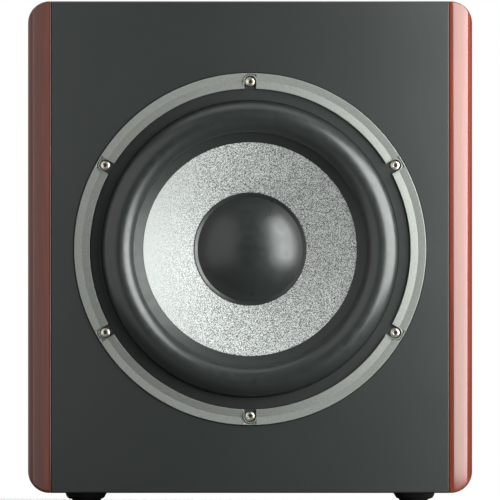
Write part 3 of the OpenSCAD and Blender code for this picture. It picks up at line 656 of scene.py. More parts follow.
def rubber_feet():
    """Moulded feet: a rounded shoulder over a narrower base, with a well for the screw's head."""
    top, r = high("rubber_feet")[2], FOOT_RADIUS
    shoulder = np.array([[0, 0], [0.6, 0.9], [0.9, 2], [1.3, 3], [1.9, 4.1], [2.6, 5.2], [4.3, 6.2],
                         [7.2, 6.9]]) * MM
    corners = [(2.2 * MM, top), *np.stack([r - shoulder[:, 0], top - shoulder[:, 1]], -1),
               (r - 8 * MM, top - 8 * MM), (r - 8 * MM, 0.7 * MM), (r - 8.7 * MM, 0),
               (7.6 * MM, 0), (7 * MM, 7 * MM), (2.2 * MM, 7 * MM)]
    radii = np.array([0.2, 0.2, 0.4, 0.4, 0.4, 0.4, 0.4, 0.6, 0.5, 0.5, 0.4, 0.4, 0.5, 0.4, 0.2]) * MM
    outline = rounded(corners, radii)
    grids = [(revolved(outline, 64) + np.array([x, y, 0]), True, True) for x, y in feet_points()]
    return fit(new_piece("feet", grids), "root", "foot", "rubber_feet")


def socket_screw(shank, length, head, height, key, steps=72):
    """A button-head screw along +z with its head's underside at 0, turned from one outline, except that
    the socket's wall follows a hexagon: its radius is the flat's half width over cos of the angle
    from the nearest flat."""
    t = np.linspace(0, 2 * np.pi, steps, endpoint=False)
    hexagon = key / np.cos((t + np.pi / 6) % (np.pi / 3) - np.pi / 6)
    dome = np.linspace(0, 1, 9)
    rim = key * 1.32
    floor = height * 0.28
    columns = [(0 * t, floor - 0.25 * key), (0.5 * hexagon, floor - 0.12 * key), (hexagon, floor),
               (hexagon, height - 0.12 * MM), (hexagon + 0.16 * MM, height)]
    columns += [(rim + (head - rim) * math.sin(s * np.pi / 2) + 0 * t,
                 height * (0.28 + 0.72 * math.cos(s * np.pi / 2))) for s in dome]
    tip = -length
    columns += [(head + 0 * t, 0.1 * height), (head - 0.25 * MM + 0 * t, 0), (shank + 0 * t, 0),
                (shank + 0 * t, tip + 0.5 * MM), (shank - 0.5 * MM + 0 * t, tip), (0 * t, tip)]
    return np.stack([np.stack([r * np.cos(t), r * np.sin(t), h + 0 * t], -1) for r, h in columns], 1)


def foot_screws():
    screw = socket_screw(1.85 * MM, 20 * MM, 4.5 * MM, 2.6 * MM, 1.5 * MM, 48)
    turned_down = screw * np.array([1, -1, -1])
    grids = [(turned_down + np.array([x, y, 7 * MM]), True, False) for x, y in feet_points()]
    return fit(new_piece("foot_bolts", grids), "root", "zinc", "foot_screws")


PAD_THICKNESS = 18 * MM
PAD_HALF_WIDTH = 150 * MM
PAD_POWER = 9.0


def felt_slab(lo, hi, wobble):
    """A crowned pad: a box whose every side bulges, made by drawing the points of a cube's grid in
    towards an even power ball, and whose faces ripple by a few low sine waves."""
    steps = np.linspace(-1, 1, 26)
    u, v = np.meshgrid(steps, steps, indexing="ij")
    centre, half = (lo + hi) / 2, (hi - lo) / 2
    grids = []
    for axis in range(3):
        for sign in (-1.0, 1.0):
            cube = np.empty(u.shape + (3,))
            cube[..., axis] = sign
            cube[..., (axis + 1) % 3] = u
            cube[..., (axis + 2) % 3] = v
            pulled = cube / (np.abs(cube) ** PAD_POWER).sum(-1, keepdims=True) ** (1 / PAD_POWER)
            place = pulled * half
            ripple = np.sin(place[..., 1] * 47 + wobble) * np.sin(place[..., 2] * 39 + 2 * wobble)
            thin = int(np.argmin(half))
            place[..., thin] *= 0.93 + 0.06 * ripple
            grids.append((place + centre, False, False))
    return grids


def lining():
    """Felt pads on the walls in front of and behind the brace."""
    lo, hi = low("acoustic_lining"), high("acoustic_lining")
    thick, half = PAD_THICKNESS, PAD_HALF_WIDTH
    brace = (low("window_brace")[1] - 2 * MM, high("window_brace")[1] + 2 * MM)
    spans = [(lo[1], brace[0]), (brace[1], hi[1])]
    side_z = (lo[2] + 30 * MM, hi[2] - 30 * MM)
    grids = []
    for count, (start, end) in enumerate(spans):
        pads = [((lo[0], start, side_z[0]), (lo[0] + thick, end, side_z[1])),
                ((hi[0] - thick, start, side_z[0]), (hi[0], end, side_z[1])),
                ((-half, start, lo[2]), (half, end, lo[2] + thick)),
                ((-half, start, hi[2] - thick), (half, end, hi[2]))]
        for k, (a, b) in enumerate(pads):
            grids += felt_slab(np.array(a), np.array(b), 1.7 * count + k)
    pads = fit(new_piece("felt_pads", grids, 80), "root", "felt", "acoustic_lining")
    return pads


# ---- Woofer ----

def trim_ring():
    """A flat ring with six U-shaped notches open to its inside. Its outer radius is constant. Within a
    notch its inner radius at an angle p from the screw is c cos p + sqrt(q^2 - (c sin p)^2), the far
    side of a circle of radius q round the screw at c; the straight sides run in from there. Its edges
    are rounded by the same outline set back by 0, 0.3 and 1 of the rounding."""
    top, bottom = Y_FRONT - low("trim_ring")[1], Y_FRONT - high("trim_ring")[1]
    edge = 0.5 * MM

    def inner_side(back, height):
        q, inner = 6.2 * MM + back, 169.6 * MM + back
        corner, shoulder = math.asin(q / inner), math.asin(q / SCREW_CIRCLE)
        plain = np.linspace(corner, np.pi / 6, 24)
        p = np.concatenate([-plain[::-1], np.linspace(-shoulder, shoulder, 33), plain[:-1]])
        arc = SCREW_CIRCLE * np.cos(p) + np.sqrt(np.maximum(q**2 - (SCREW_CIRCLE * np.sin(p)) ** 2, 0))
        r = np.tile(np.where(np.abs(p) < (shoulder + corner) / 2, arc, inner), 6)
        angle = (SCREW_ANGLES[:, None] + p[None, :]).reshape(-1)
        return np.stack([r * np.cos(angle), r * np.sin(angle), height + 0 * r], -1)

    inside = [(edge * 1.4, top), (edge, top), (edge * 0.3, top - 0.3 * edge), (0, top - edge), (0, bottom)]
    columns = [inner_side(back, height) for back, height in inside]
    direction = columns[-1] * [1, 1, 0] / np.linalg.norm(columns[-1][:, :2], axis=1)[:, None]
    for back, height in reversed(inside):
        columns.insert(0, direction * (RING_RADIUS - back) + [0, 0, height])
    piece = new_piece("trim_ring_metal", [(at_woofer(np.stack(columns, 1)), True, True)], 15)
    return fit(piece, "root", "ring", "trim_ring")


def woofer_screws():
    """Six hex-socket button screws, each turned a little differently, as they stop when tightened."""
    flange = Y_FRONT - high("driver_screws")[1] + 22 * MM
    screw = socket_screw(2.95 * MM, 22 * MM, 5.5 * MM, 3.3 * MM, 2.0 * MM)
    grids = []
    for k, angle in enumerate(SCREW_ANGLES):
        place = SCREW_CIRCLE * np.array([math.cos(angle), math.sin(angle), 0]) + np.array([0, 0, flange])
        grids.append((at_woofer(turned(screw, 0.35 + 0.9 * k) + place), True, False))
    piece = fit(new_piece("woofer_bolts", grids), "root", "screw", "driver_screws")
    axes = SCREW_CIRCLE * np.stack([np.cos(SCREW_ANGLES), np.sin(SCREW_ANGLES)])

    def in_socket(x, y, z):
        off = np.hypot(x[:, None] - axes[0], z[:, None] - Z_WOOFER - axes[1]).min(1)
        return (off < 2.3 * MM) & (y < Y_FRONT - flange) & (y > Y_FRONT - flange - 3.2 * MM)

    # painted shadow: the faces inside the hex sockets get a dark brown finish
    second_finish(piece, "socket", in_socket)
    return piece


def vertex_points(piece):
    points = np.empty(len(piece.data.vertices) * 3)
    piece.data.vertices.foreach_get("co", points)
    return points.reshape(-1, 3)


def lathed(name, profile, steps, sharp=38.0):
    """A closed outline (radius, height out of the baffle) turned round the woofer's axis."""
    return new_piece(name, [(at_woofer(revolved(profile, steps)), True, True)], sharp)


def cone_height(r):
    """Height of the cone's front at a radius: a straight slope down to the coil former."""
    return CONE_EDGE_H - (CONE_RADIUS - r) * bpy.context.scene.subwoofer_sizes.cone_slope


def on_cone(r, lift):
    """A point of an outline, at a radius and a height over the cone's front."""
    return [r, cone_height(r) + lift]


def second_finish(piece, name, chosen):
    """Gives the faces for which chosen(x, y, z) of their middles holds another finish."""
    piece.data.materials.append(finish(name))
    faces = piece.data.polygons
    middles, index = np.empty(len(faces) * 3), np.empty(len(faces), np.int32)
    faces.foreach_get("center", middles)
    faces.foreach_get("material_index", index)
    index[chosen(*middles.reshape(-1, 3).T)] = len(piece.data.materials) - 1
    faces.foreach_set("material_index", index)


def follow_radius(piece):
    """Bakes the placement of a flexible ring, which lies between the basket and the moving cone, into its
    points.
    """
    x, _, z = vertex_points(piece).T
    share_movement(piece)


def share_movement(piece):
    """Bakes the piece's placement into its points."""
    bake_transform(piece)


def dress(piece, finish_name, node):
    """Finish and CAD node of a piece that lies between two bodies and rides on neither."""
    piece.data.materials.append(finish(finish_name))
    stand_for(node)


def surround(sizes):
    """Half-roll of rubber: a semi-ellipse between two radii, with a flat rim glued to the basket on the
    outside and a sloping strip glued to the cone on the inside, all of one wall."""
    crest = Y_FRONT - low("surround")[1]
    flange = -2.5 * MM
    wall = 1.2 * MM
    foot = flange + wall
    outer, inner = sizes.roll_outer_radius, sizes.roll_inner_radius
    middle, half = (outer + inner) / 2, (outer - inner) / 2
    rim, strip = 168.8 * MM, sizes.cone_strip_radius
    glue = 0.15 * MM

    def roll(offset, start, end):
        a = np.radians(np.linspace(start, end, 56))
        rise = crest - wall - flange + offset
        return np.stack([middle + (half + offset) * np.cos(a), flange + rise * np.sin(a)], -1)

    bead = rounded([(outer + 2.4 * MM, foot + 0.5 * MM), (outer + 1.6 * MM, foot + 0.7 * MM),
                    (outer + 0.9 * MM, foot)], 0.3 * MM, 3)[:6]
    profile = np.concatenate([
        [[rim, flange], [rim, foot - 0.1 * MM], [rim - 0.3 * MM, foot], [outer + 3.2 * MM, foot]], bead,
        roll(wall, 4, 174),
        [on_cone(inner - 0.6 * MM, wall + 0.5 * MM), on_cone(inner - 1.6 * MM, wall),
         on_cone(strip + 1.5 * MM, wall * 0.95), on_cone(strip + 0.3 * MM, wall * 0.8),
         on_cone(strip, wall * 0.45), on_cone(strip, glue), on_cone(inner + 0.4 * MM, glue)],
        roll(0, 174, 2)])
    piece = lathed("surround_roll", profile, 288, 50)
    dress(piece, "surround", "surround")
    second_finish(piece, "rim", lambda x, y, z: np.hypot(x, z - Z_WOOFER) > outer + wall + 0.3 * MM)
    second_finish(piece, "strip", lambda x, y, z: np.hypot(x, z - Z_WOOFER) < inner - 0.8 * MM)
    follow_radius(piece)
    return piece


def cone_shell():
    """A straight-sided funnel with a rounded outer rim."""
    thick = 2.2 * MM
    rim = CONE_RADIUS
    front = np.linspace(FORMER_RADIUS, rim - 0.3 * MM, 24)
    profile = np.concatenate([
        np.stack([front, cone_height(front)], -1),
        [on_cone(rim, -0.5 * MM), on_cone(rim, 0.4 * MM - thick)],
        np.stack([front[::-1], cone_height(front[::-1]) - thick], -1)])
    return fit(lathed("cone_shell", profile, 256), "moving_assembly", "glass_fibre", "cone")


def dust_cap(sizes):
    """Part of a sphere, whose edge angle fixes its radius and height, on a lip glued along the cone."""
    edge, angle, wall, lip = sizes.cap_radius, sizes.cap_angle, 1.2 * MM, 4.5 * MM
    ball = edge / math.sin(angle)
    base = cone_height(edge) + 0.8 * MM

    def dome(radius, a):
        return np.stack([radius * np.sin(a), base + radius * np.cos(a) - ball * math.cos(angle)], -1)

    a = np.linspace(0, angle, 40)
    far = edge + lip
    profile = np.concatenate([
        dome(ball, a),
        [on_cone(edge + 0.35 * MM, 0.75 * MM), on_cone(edge + 1.0 * MM, 0.7 * MM),
         on_cone(far - 1.3 * MM, 0.7 * MM), on_cone(far - 0.9 * MM, 0.62 * MM),
         on_cone(far - 0.1 * MM, 0.1 * MM), on_cone(far, 0), on_cone(edge - 1.2 * MM, 0)],
        dome(ball - wall, a[::-1])])
    return fit(lathed("dust_cap_dome", profile, 192), "moving_assembly", "cap", "dust_cap")


def spider():
    """Corrugated cloth disc: height follows a sine of the radius, fading out towards both rims."""
    height = -62 * MM
    inner, outer = FORMER_RADIUS + 0.25 * MM, (high("spider")[0] - low("spider")[0]) / 2
    first, last, thick = 39 * MM, 81 * MM, 0.9 * MM
    r = np.linspace(first, last, 150)
    s = (r - first) / (last - first)
    fade = np.minimum(1, 8 * np.minimum(s, 1 - s))
    wave = 2.2 * MM * np.sin(2 * np.pi * 5 * s) * fade
    top = np.concatenate([
        [[inner, height + 4 * MM], [inner + thick * 0.6, height + 3.9 * MM],
         [inner + thick, height + 2.2 * MM], [inner + 1.8 * MM, height + thick * 1.1]],
        np.stack([r, height + thick + wave], -1),
        [[outer - 0.3 * MM, height + thick], [outer, height + thick * 0.7]]])
    bottom = np.concatenate([
        [[outer, height]], np.stack([r, height + wave], -1)[::-1], [[inner, height]]])
    piece = lathed("spider_disc", np.concatenate([top, bottom]), 144)
    dress(piece, "spider", "spider")
    follow_radius(piece)
    return piece


def voice_coil():
    """Wire wound on the former: the outline's outer side is scalloped, |sin| of the height, once a turn."""
    lo, hi = low("voice_coil"), high("voice_coil")
    inner, outer = FORMER_RADIUS, (hi[0] - lo[0]) / 2
    bottom, top = Y_FRONT - hi[1], Y_FRONT - lo[1]
    turns = 32
    s = np.linspace(0, 1, turns * 6 + 1)
    scallop = 0.3 * MM * (1 - np.abs(np.sin(np.pi * turns * s)))
    wound = np.stack([outer - scallop, bottom + (top - bottom) * s], -1)
    profile = np.concatenate([[[inner, bottom]], wound, [[inner, top]]])
    return fit(lathed("coil_winding", profile, 96), "moving_assembly", "copper", "voice_coil")


LEAD_STEPS = 60


def lead_route(side):
    """From a soldered spot on the cone's back, out through a window of the basket, to the terminals."""
    block = Y_FRONT - low("terminal_block")[1]
    base = 104 * MM
    start = np.array([side * 15 * MM, -68 * MM, cone_height(69.6 * MM) - 3.6 * MM])
    end = np.array([side * 20 * MM, -base - 4.5 * MM, block + 0.4 * MM])
    return curve(start, start + np.array([side * 8, -25, -8]) * MM,
                 end + np.array([side * 10, -34, 30]) * MM, end, LEAD_STEPS)


def tinsel_leads():
    """Two braided leads."""
    grids = [(at_woofer(swept(lead_route(side), 1.1 * MM, 12)), False, True) for side in (-1, 1)]
    piece = new_piece("tinsel_braids", grids)
    dress(piece, "braid", "tinsel_leads")
    routes = np.stack([at_woofer(lead_route(side)) for side in (-1, 1)])
    gaps = vertex_points(piece)[:, None, None] - routes[None]
    nearest = np.linalg.norm(gaps, axis=-1).min(1).argmin(1)
    share_movement(piece)
    return piece


def solder_spots():
    """Blobs of solder and glue where the leads meet the cone: flattened balls."""
    outline = rounded([(0, -1.6 * MM), (3.4 * MM, -1.4 * MM), (3.4 * MM, 0.9 * MM), (0, 1.3 * MM)],
                      [0, 1.2 * MM, 1.2 * MM, 0])
    grids = []
    for side in (-1, 1):
        place = lead_route(side)[0] + np.array([0, 0, 0.4 * MM])
        grids.append((at_woofer(revolved(outline, 32) + place), True, True))
    return fit(new_piece("solder_spots", grids), "moving_assembly", "zinc")


WINDOW_Z = 150 * MM


def speaker_cable():
    """Jacketed lead from the amplifier's housing through the window of the brace to the terminals."""
    start = np.array([0, high("terminal_block")[1] + 0.3 * MM, Z_WOOFER - 108.5 * MM])
    end = np.array([60 * MM, low("amp_housing")[1] + 0.5 * MM, Z_AMP - 100 * MM])
    brace = low("window_brace")[1]
    through = np.array([20 * MM, brace + 9 * MM, WINDOW_Z])
    first = curve(start, start + np.array([0, 40, 0]) * MM, [10 * MM, brace - 10 * MM, WINDOW_Z], through, 40)
    second = curve(through, [30 * MM, brace + 30 * MM, WINDOW_Z], end - np.array([0, 30, 0]) * MM, end, 40)
    path = np.concatenate([first, second[1:]])
    piece = new_piece("speaker_lead", [(swept(path, 2.95 * MM, 20), False, True)])
    return fit(piece, "root", "jacket", "speaker_cable")


# ---- Amplifier ----

LEVEL_X, CROSSOVER_X, KNOB_Y = -98 * MM, -58 * MM, -32 * MM
INPUT_Y, OUTPUT_Y = -84 * MM, -136 * MM
ROCKER = np.array([68 * MM, -78 * MM, -2 * MM])
ROCKER_TILT = math.radians(-7)
PRINT_H = 0.06 * MM


def printed(name, strokes):
    """Marks printed on the amplifier's plate: each stroke is a slim plate (x, y, length, width, angle)."""
    grids = []
    for x, y, length, width, angle in strokes:
        bar = slab(length, width, 0, PRINT_H, min(length, width) * 0.3, PRINT_H * 0.4)
        grids.append((at_amplifier(turned(bar, angle) + np.array([x, y, 0])), False, True))
    piece = new_piece(name, grids, 60)
    return fit(piece, "root", "print")


def dial_marks():
    """Ticks round both knobs, longer at the ends and the middle of the turn."""
    strokes = []
    for x in (LEVEL_X, CROSSOVER_X):
        for k in range(11):
            angle = math.radians(90 + 150 - 30 * k)
            long = k in (0, 5, 10)
            middle = (14.4 if long else 14.0) * MM
            strokes.append((x + middle * math.cos(angle), KNOB_Y + middle * math.sin(angle),
                            (2.8 if long else 2.0) * MM, (0.6 if long else 0.4) * MM, angle))
    return printed("dial_marks", strokes)


def panel_marks():
    """Thin rules under each group of sockets, arrows for in and out, and dots for the phase switch."""
    x, lean_angle = -78 * MM, math.radians(50)
    strokes = []
    for y, way in ((INPUT_Y, -1), (OUTPUT_Y, 1)):
        strokes += [(x, y - 19.5 * MM, 66 * MM, 0.5 * MM, 0), (x, y, 0.6 * MM, 9 * MM, 0)]
        strokes += [(x + lean * 1.1 * MM, y + way * 3.2 * MM, 3.6 * MM, 0.6 * MM, lean * way * -lean_angle)
                    for lean in (-1, 1)]
    dots_y = KNOB_Y - 8 * MM
    strokes += [(dot * MM, dots_y, 1.4 * MM, 1.4 * MM, 0) for dot in (-21, -7)]
    strokes.append((-14 * MM, dots_y, 6 * MM, 0.4 * MM, 0))
    return printed("panel_marks", strokes)


def tipped(points, angle):
    """Points turned about the first axis."""
    c, s = math.cos(angle), math.sin(angle)
    return points @ np.array([[1, 0, 0], [0, c, s], [0, -s, c]])


def rocker_marks():
    """A bar and a ring, for on and off, on the two halves of the mains rocker."""
    slope = math.atan2(1.8, 10.2)
    t = np.linspace(0, 2 * np.pi, 40, endpoint=False)[:, None]
    tube = np.linspace(0, 2 * np.pi, 8, endpoint=False)[None, :]
    r = 2.2 * MM + 0.28 * MM * np.cos(tube)
    ring = np.stack([r * np.cos(t), r * np.sin(t), 0.1 * MM * np.sin(tube) + 0 * t], -1)
    bar = slab(0.6 * MM, 4.4 * MM, -0.05 * MM, 0.08 * MM, 0.2 * MM, 0.05 * MM)
    grids = []
    for points, way in ((bar, 1), (ring, -1)):
        placed = tipped(points, way * slope) + np.array([0, way * 5.1 * MM, 5.5 * MM])
        placed = tipped(placed, ROCKER_TILT) + ROCKER
        grids.append((at_amplifier(placed), way < 0, True))
    return fit(new_piece("rocker_marks", grids, 60), "rocker", "print")


def knob_pointer(name, x, body):
    """White line let into a knob's top."""
    bar = slab(1.1 * MM, 5.2 * MM, 15.3 * MM, 15.9 * MM, 0.3 * MM, 0.15 * MM)
    points = at_amplifier(bar + np.array([x, KNOB_Y + 6.6 * MM, 0]))
    return fit(new_piece(name, [(points, False, True)], 60), body, "print")


def transformer():
    """A ring of rounded section wrapped in tape: the section grows and shrinks by a third of a
    millimetre, |sin|, once for each turn of tape round the ring."""
    lo, hi = low("transformer"), high("transformer")
    middle = (lo + hi) / 2
    outer, inner = (hi[0] - lo[0]) / 2, 18 * MM
    depth = hi[1] - lo[1]
    outline = rounded([(inner, -depth / 2), (outer, -depth / 2), (outer, depth / 2), (inner, depth / 2)],
                      8 * MM, 14)
    steps, wraps = 432, 54
    grid = revolved(outline, steps)
    t = np.linspace(0, 2 * np.pi, steps, endpoint=False)[:, None, None]
    centre_r = (outer + inner) / 2
    spine = np.concatenate([centre_r * np.cos(t), centre_r * np.sin(t), 0 * t], -1)
    shrink = 0.985 - 0.02 * (1 - np.abs(np.sin(wraps * t / 2)))
    grid = spine + (grid - spine) * shrink
    placed = np.stack([grid[..., 0], grid[..., 2], grid[..., 1]], -1) + middle
    piece = new_piece("transformer_ring", [(placed, True, True)], 60)
    return fit(piece, "root", "winding", "transformer")


def capacitors():
    """Sleeved cans: a rolled groove near the foot, a rounded shoulder and a scored aluminium top."""
    lo, hi = low("capacitors"), high("capacitors")
    r, tall = (hi[2] - lo[2]) / 2, hi[1] - lo[1]
    outline = rounded([(0, 0), (r - 0.4 * MM, 0), (r - 0.2 * MM, 2.4 * MM), (r - 1.3 * MM, 3.6 * MM),
                       (r - 0.2 * MM, 4.8 * MM), (r - 0.2 * MM, tall - 0.1 * MM),
                       (r - 2.2 * MM, tall - 0.1 * MM),
                       (r - 2.8 * MM, tall - 0.9 * MM), (0, tall - 0.9 * MM)],
                      np.array([0, 0.5, 0.9, 0.9, 0.9, 1.2, 0.4, 0.3, 0]) * MM)
    base = hi[1] - Y_BACK - tall
    grids = [(at_amplifier(revolved(outline, 56) + np.array([x * MM, 128 * MM, base])), True, True)
             for x in (-66, -22, 22, 66)]
    return fit(new_piece("capacitor_cans", grids), "root", "sleeve", "capacitors")


def board_parts():
    """Small parts on both boards in rows: resistor sleeves, chips and coils, as slabs and drums."""
    top = low("power_board")[1] - Y_BACK + 1.6 * MM
    grids = []
    for k in range(14):
        x, y = (-90 + 13.5 * k) * MM, (22 + 7 * (k % 3)) * MM
        grids.append((slab(9 * MM, 4 * MM, top, top + (3 + k % 4) * MM, 1 * MM, 0.5 * MM)
                      + np.array([x, y, 0]), False, True))
    for k in range(5):
        drum = rounded([(0, top), (5 * MM, top), (5 * MM, top + 12 * MM), (0, top + 12 * MM)],
                       [0, 0.8 * MM, 0.8 * MM, 0])
        grids.append((revolved(drum, 32) + np.array([(-80 + 40 * k) * MM, 92 * MM, 0]), True, True))
    back = low("control_board")[1] - Y_BACK
    for k in range(10):
        x, y = (-100 + 20 * (k % 5)) * MM, (-52 - 12 * (k // 5)) * MM
        chip = slab(10 * MM, 6 * MM, 0, 2.2 * MM, 0.6 * MM, 0.4 * MM) * np.array([1, -1, -1])
        grids.append((chip + np.array([x, y, back]), False, True))
    placed = [(at_amplifier(points), rows, columns) for points, rows, columns in grids]
    return fit(new_piece("board_parts", placed), "root", "plastic")


# ---- Stage ----

def stage_floor(settings):
    """A pale disc that fades into the white round it, so that no edge shows, and that throws little
    light back up. From below it is clear."""
    t = np.linspace(0, 2 * np.pi, 96, endpoint=False)[None, :]
    r = np.array([0, 0.5, 1.0, 1.6, 2.4, 3.4, settings.floor_radius])[:, None]
    points = np.stack([r * np.cos(t), r * np.sin(t), -0.0004 + 0 * r * t], -1)
    floor = new_piece("floor", [(points, False, True)])
    if floor.data.polygons[0].normal.z < 0:
        floor.data.flip_normals()
    made = Finish("pale_floor", settings.floor, 0.75)
    mottle = made.noise(30 * MM, 3)
    made.colours(mottle, [(0.3, shade(settings.floor, 0.985)), (0.7, settings.floor)])
    distance = made.add("VectorMath", {0: made.place}, operation="LENGTH").outputs["Value"]
    glow = made.add("Emission").outputs[0]
    fade = mixed(made.tree, made.ranged(distance, 0.22, 0.7, 0, 1), made.shader.outputs[0], glow)
    dull = made.add("BsdfDiffuse", {"Color": (*3 * (settings.bounce,), 1)}).outputs[0]
    seen = mixed(made.tree, made.add("LightPath").outputs["Is Camera Ray"], dull, fade)
    clear = made.add("BsdfTransparent").outputs[0]
    above = mixed(made.tree, made.add("NewGeometry").outputs["Backfacing"], seen, clear)
    made.tree.links.new(above, made.tree.nodes["Material Output"].inputs["Surface"])
    floor.data.materials.append(made.material)


LIGHT_TINT = (0.96, 1.0, 0.975)
WHITE = (1, 1, 1, 1)


def softbox(name, place, aim, width, height, radiance):
    """A rectangular light whose power gives the stated radiance: power = radiance x pi x area."""
    data = bpy.data.lights.new(name, "AREA")
    data.shape = "RECTANGLE"
    data.size, data.size_y = width, height
    data.energy = radiance * math.pi * width * height
    data.color = LIGHT_TINT
    lamp = linked(name, data)
    lamp.location = place
    lamp.rotation_euler = (Vector(aim) - Vector(place)).to_track_quat("-Z", "Y").to_euler()
    lamp.visible_camera = False


def stage_world(settings):
    """White to the camera, and a dim grey to everything that it lights."""
    world = bpy.data.worlds.new("studio")
    world.use_nodes = True
    bpy.context.scene.world = world
    tree = world.node_tree
    room = tree.nodes["Background"]
    room.inputs["Color"].default_value = WHITE
    room.inputs["Strength"].default_value = settings.ambient
    seen = add_node(tree, "Background", {"Color": WHITE}).outputs[0]
    mix = mixed(tree, add_node(tree, "LightPath").outputs["Is Camera Ray"], room.outputs[0], seen)
    tree.links.new(mix, tree.nodes["World Output"].inputs["Surface"])


SENSOR = 36


def stage_camera(settings):
    """A long lens, level and square to the front."""
    data = bpy.data.cameras.new("camera")
    data.sensor_width = SENSOR
    data.lens = SENSOR * settings.camera_distance / settings.view_width
    data.clip_start, data.clip_end = 0.5, 100
    camera = linked("camera", data)
    camera.location = (settings.camera_shift, Y_FRONT - settings.camera_distance, settings.camera_height)
    camera.rotation_euler = (math.pi / 2, 0, 0)
    bpy.context.scene.camera = camera


# ---- Settings ----

def length(name, description, default):
    return bpy.props.FloatProperty(name=name, description=description, default=default, unit="LENGTH",
                                   subtype="DISTANCE")


def number(name, description, default):
    return bpy.props.FloatProperty(name=name, description=description, default=default)


def colour(name, description, default):
    return bpy.props.FloatVectorProperty(name=name, description=description, default=default, size=3,
                                         subtype="COLOR", min=0, max=1)


class SubwooferSizes(bpy.types.PropertyGroup):
    panel_edge_radius: length("Side panel edge", "Radius along the outer edges of the wooden panels", 23 * MM)
    panel_corner_power: number("Side panel corner", "How crisp the corners are; higher is crisper", 40.0)
    roll_outer_radius: length("Roll outside", "Outer radius of the surround's roll", 156 * MM)
    roll_inner_radius: length("Roll inside", "Inner radius of the surround's roll", 124.5 * MM)
    cone_strip_radius: length("Glue strip", "Inner radius of the surround's strip on the cone", 113 * MM)
    cone_slope: number("Cone slope", "Rise over run of the cone's front", 0.51)
    cap_radius: length("Dust cap", "Radius of the dust cap's dome", 55.5 * MM)
    cap_angle: bpy.props.FloatProperty(name="Dome angle", description="Slope of the dome at its edge",
                                       default=math.radians(37), subtype="ANGLE", unit="ROTATION")


class SubwooferColours(bpy.types.PropertyGroup):
    paint: colour("Panels", "Satin paint of the panels", (0.0138, 0.0174, 0.0165))
    paint_roughness: number("Panel roughness", "Roughness of the satin paint", 0.37)
    wood: colour("Wood", "Lacquered wood of the side panels", (0.13, 0.0195, 0.0088))
    ring: colour("Trim ring", "Blasted metal of the trim ring", (0.215, 0.224, 0.209))
    cone: colour("Cone", "Glass fibre of the cone", (0.375, 0.385, 0.38))
    rubber: colour("Rubber", "Surround and dust cap", (0.0145, 0.0180, 0.0168))


class SubwooferStage(bpy.types.PropertyGroup):
    camera_distance: length("Camera distance", "From the camera to the front of the box", 24.0)
    camera_height: length("Camera height", "Height of the level camera", 0.269)
    camera_shift: length("Camera shift", "How far right of the middle the camera stands", -0.0001)
    view_width: length("View width", "Width of the view at the front of the box", 0.5287)
    ambient: number("Ambient", "Strength of the light from all round", 0.08)
    key: number("Key", "Radiance of the large softbox on the right", 9.3)
    fill: number("Fill", "Radiance of the softbox on the left", 1.0)
    side: number("Side", "Radiance of the softbox beside the left panel", 0.3)
    top: number("Overhead", "Radiance of the softbox overhead", 1.3)
    rear: number("Rear", "Radiance of the softbox behind", 6.5)
    back_right: number("Back right", "Radiance of the softbox high behind on the right", 3.5)
    back_left: number("Back left", "Radiance of the softbox high behind on the left", 2.5)
    floor: colour("Floor", "Colour of the floor", (0.88, 0.88, 0.88))
    bounce: number("Bounce", "Share of the light that the floor throws back at the object", 0.1)
    floor_radius: length("Floor radius", "Radius of the floor", 4.5)


# ---- Operators ----

class SUBWOOFER_OT_cabinet(bpy.types.Operator):
    """Side panels, painted panels, brace, lining and feet"""

    bl_idname = "subwoofer.cabinet"
    bl_label = "Cabinet"

    def execute(self, context):
        for side in ("left", "right"):
            side_panel(side, context.scene.subwoofer_sizes)
        for node in ("front_baffle", "top_panel", "bottom_panel", "back_panel"):
            panel = softened(node, "paint" if node == "front_baffle" else "matte_paint", 0.4 * MM)
            if node == "front_baffle":
                # painted shade: the side chamfers get a dark brown finish in place of the groove's shadow
                second_finish(panel, "joint", in_chamfer)
        softened("window_brace", "raw_board", 0.8 * MM)
        rubber_feet()
        foot_screws()
        lining()
        return {"FINISHED"}


class SUBWOOFER_OT_woofer_front(bpy.types.Operator):
    """Trim ring, screws, surround, cone and dust cap"""

    bl_idname = "subwoofer.woofer_front"
    bl_label = "Woofer front"

    def execute(self, context):
        sizes = context.scene.subwoofer_sizes
        trim_ring()
        woofer_screws()
        surround(sizes)
        cone_shell()
        dust_cap(sizes)
        return {"FINISHED"}


class SUBWOOFER_OT_woofer_motor(bpy.types.Operator):
    """Basket, spider, coil, magnet and leads"""

    bl_idname = "subwoofer.woofer_motor"
    bl_label = "Woofer motor"

    def execute(self, context):
        soften_all((
            ("basket", "cast", 0.6), ("basket_gasket", "seal", 0), ("baffle_inserts", "zinc", 0.2),
            ("top_plate", "zinc", 0.6), ("magnet", "ferrite", 1.2), ("yoke", "zinc", 0.8),
            ("motor_screws", "zinc", 0.2), ("terminal_block", "plastic", 0.8)))
        refinish("coil_former", "former")
        spider()
        voice_coil()
        tinsel_leads()
        solder_spots()
        speaker_cable()
        return {"FINISHED"}


class SUBWOOFER_OT_amplifier(bpy.types.Operator):
    """Amplifier's plate, heat sink, housing and electronics"""

    bl_idname = "subwoofer.amplifier"
    bl_label = "Amplifier"

    def execute(self, context):
        soften_all((
            ("amp_plate", "plate", 0.4), ("heat_sink", "anodised", 0.35), ("amp_housing", "sheet_steel", 0.5),
            ("amp_screws", "screw", 0.12), ("transformer_clamp", "zinc", 0.25),
            ("transistors", "plastic", 0.4),
            ("power_board", "board", 0.2), ("control_board", "board", 0.2)))
        refinish("amp_gasket", "seal")
        transformer()
        capacitors()
        board_parts()
        return {"FINISHED"}


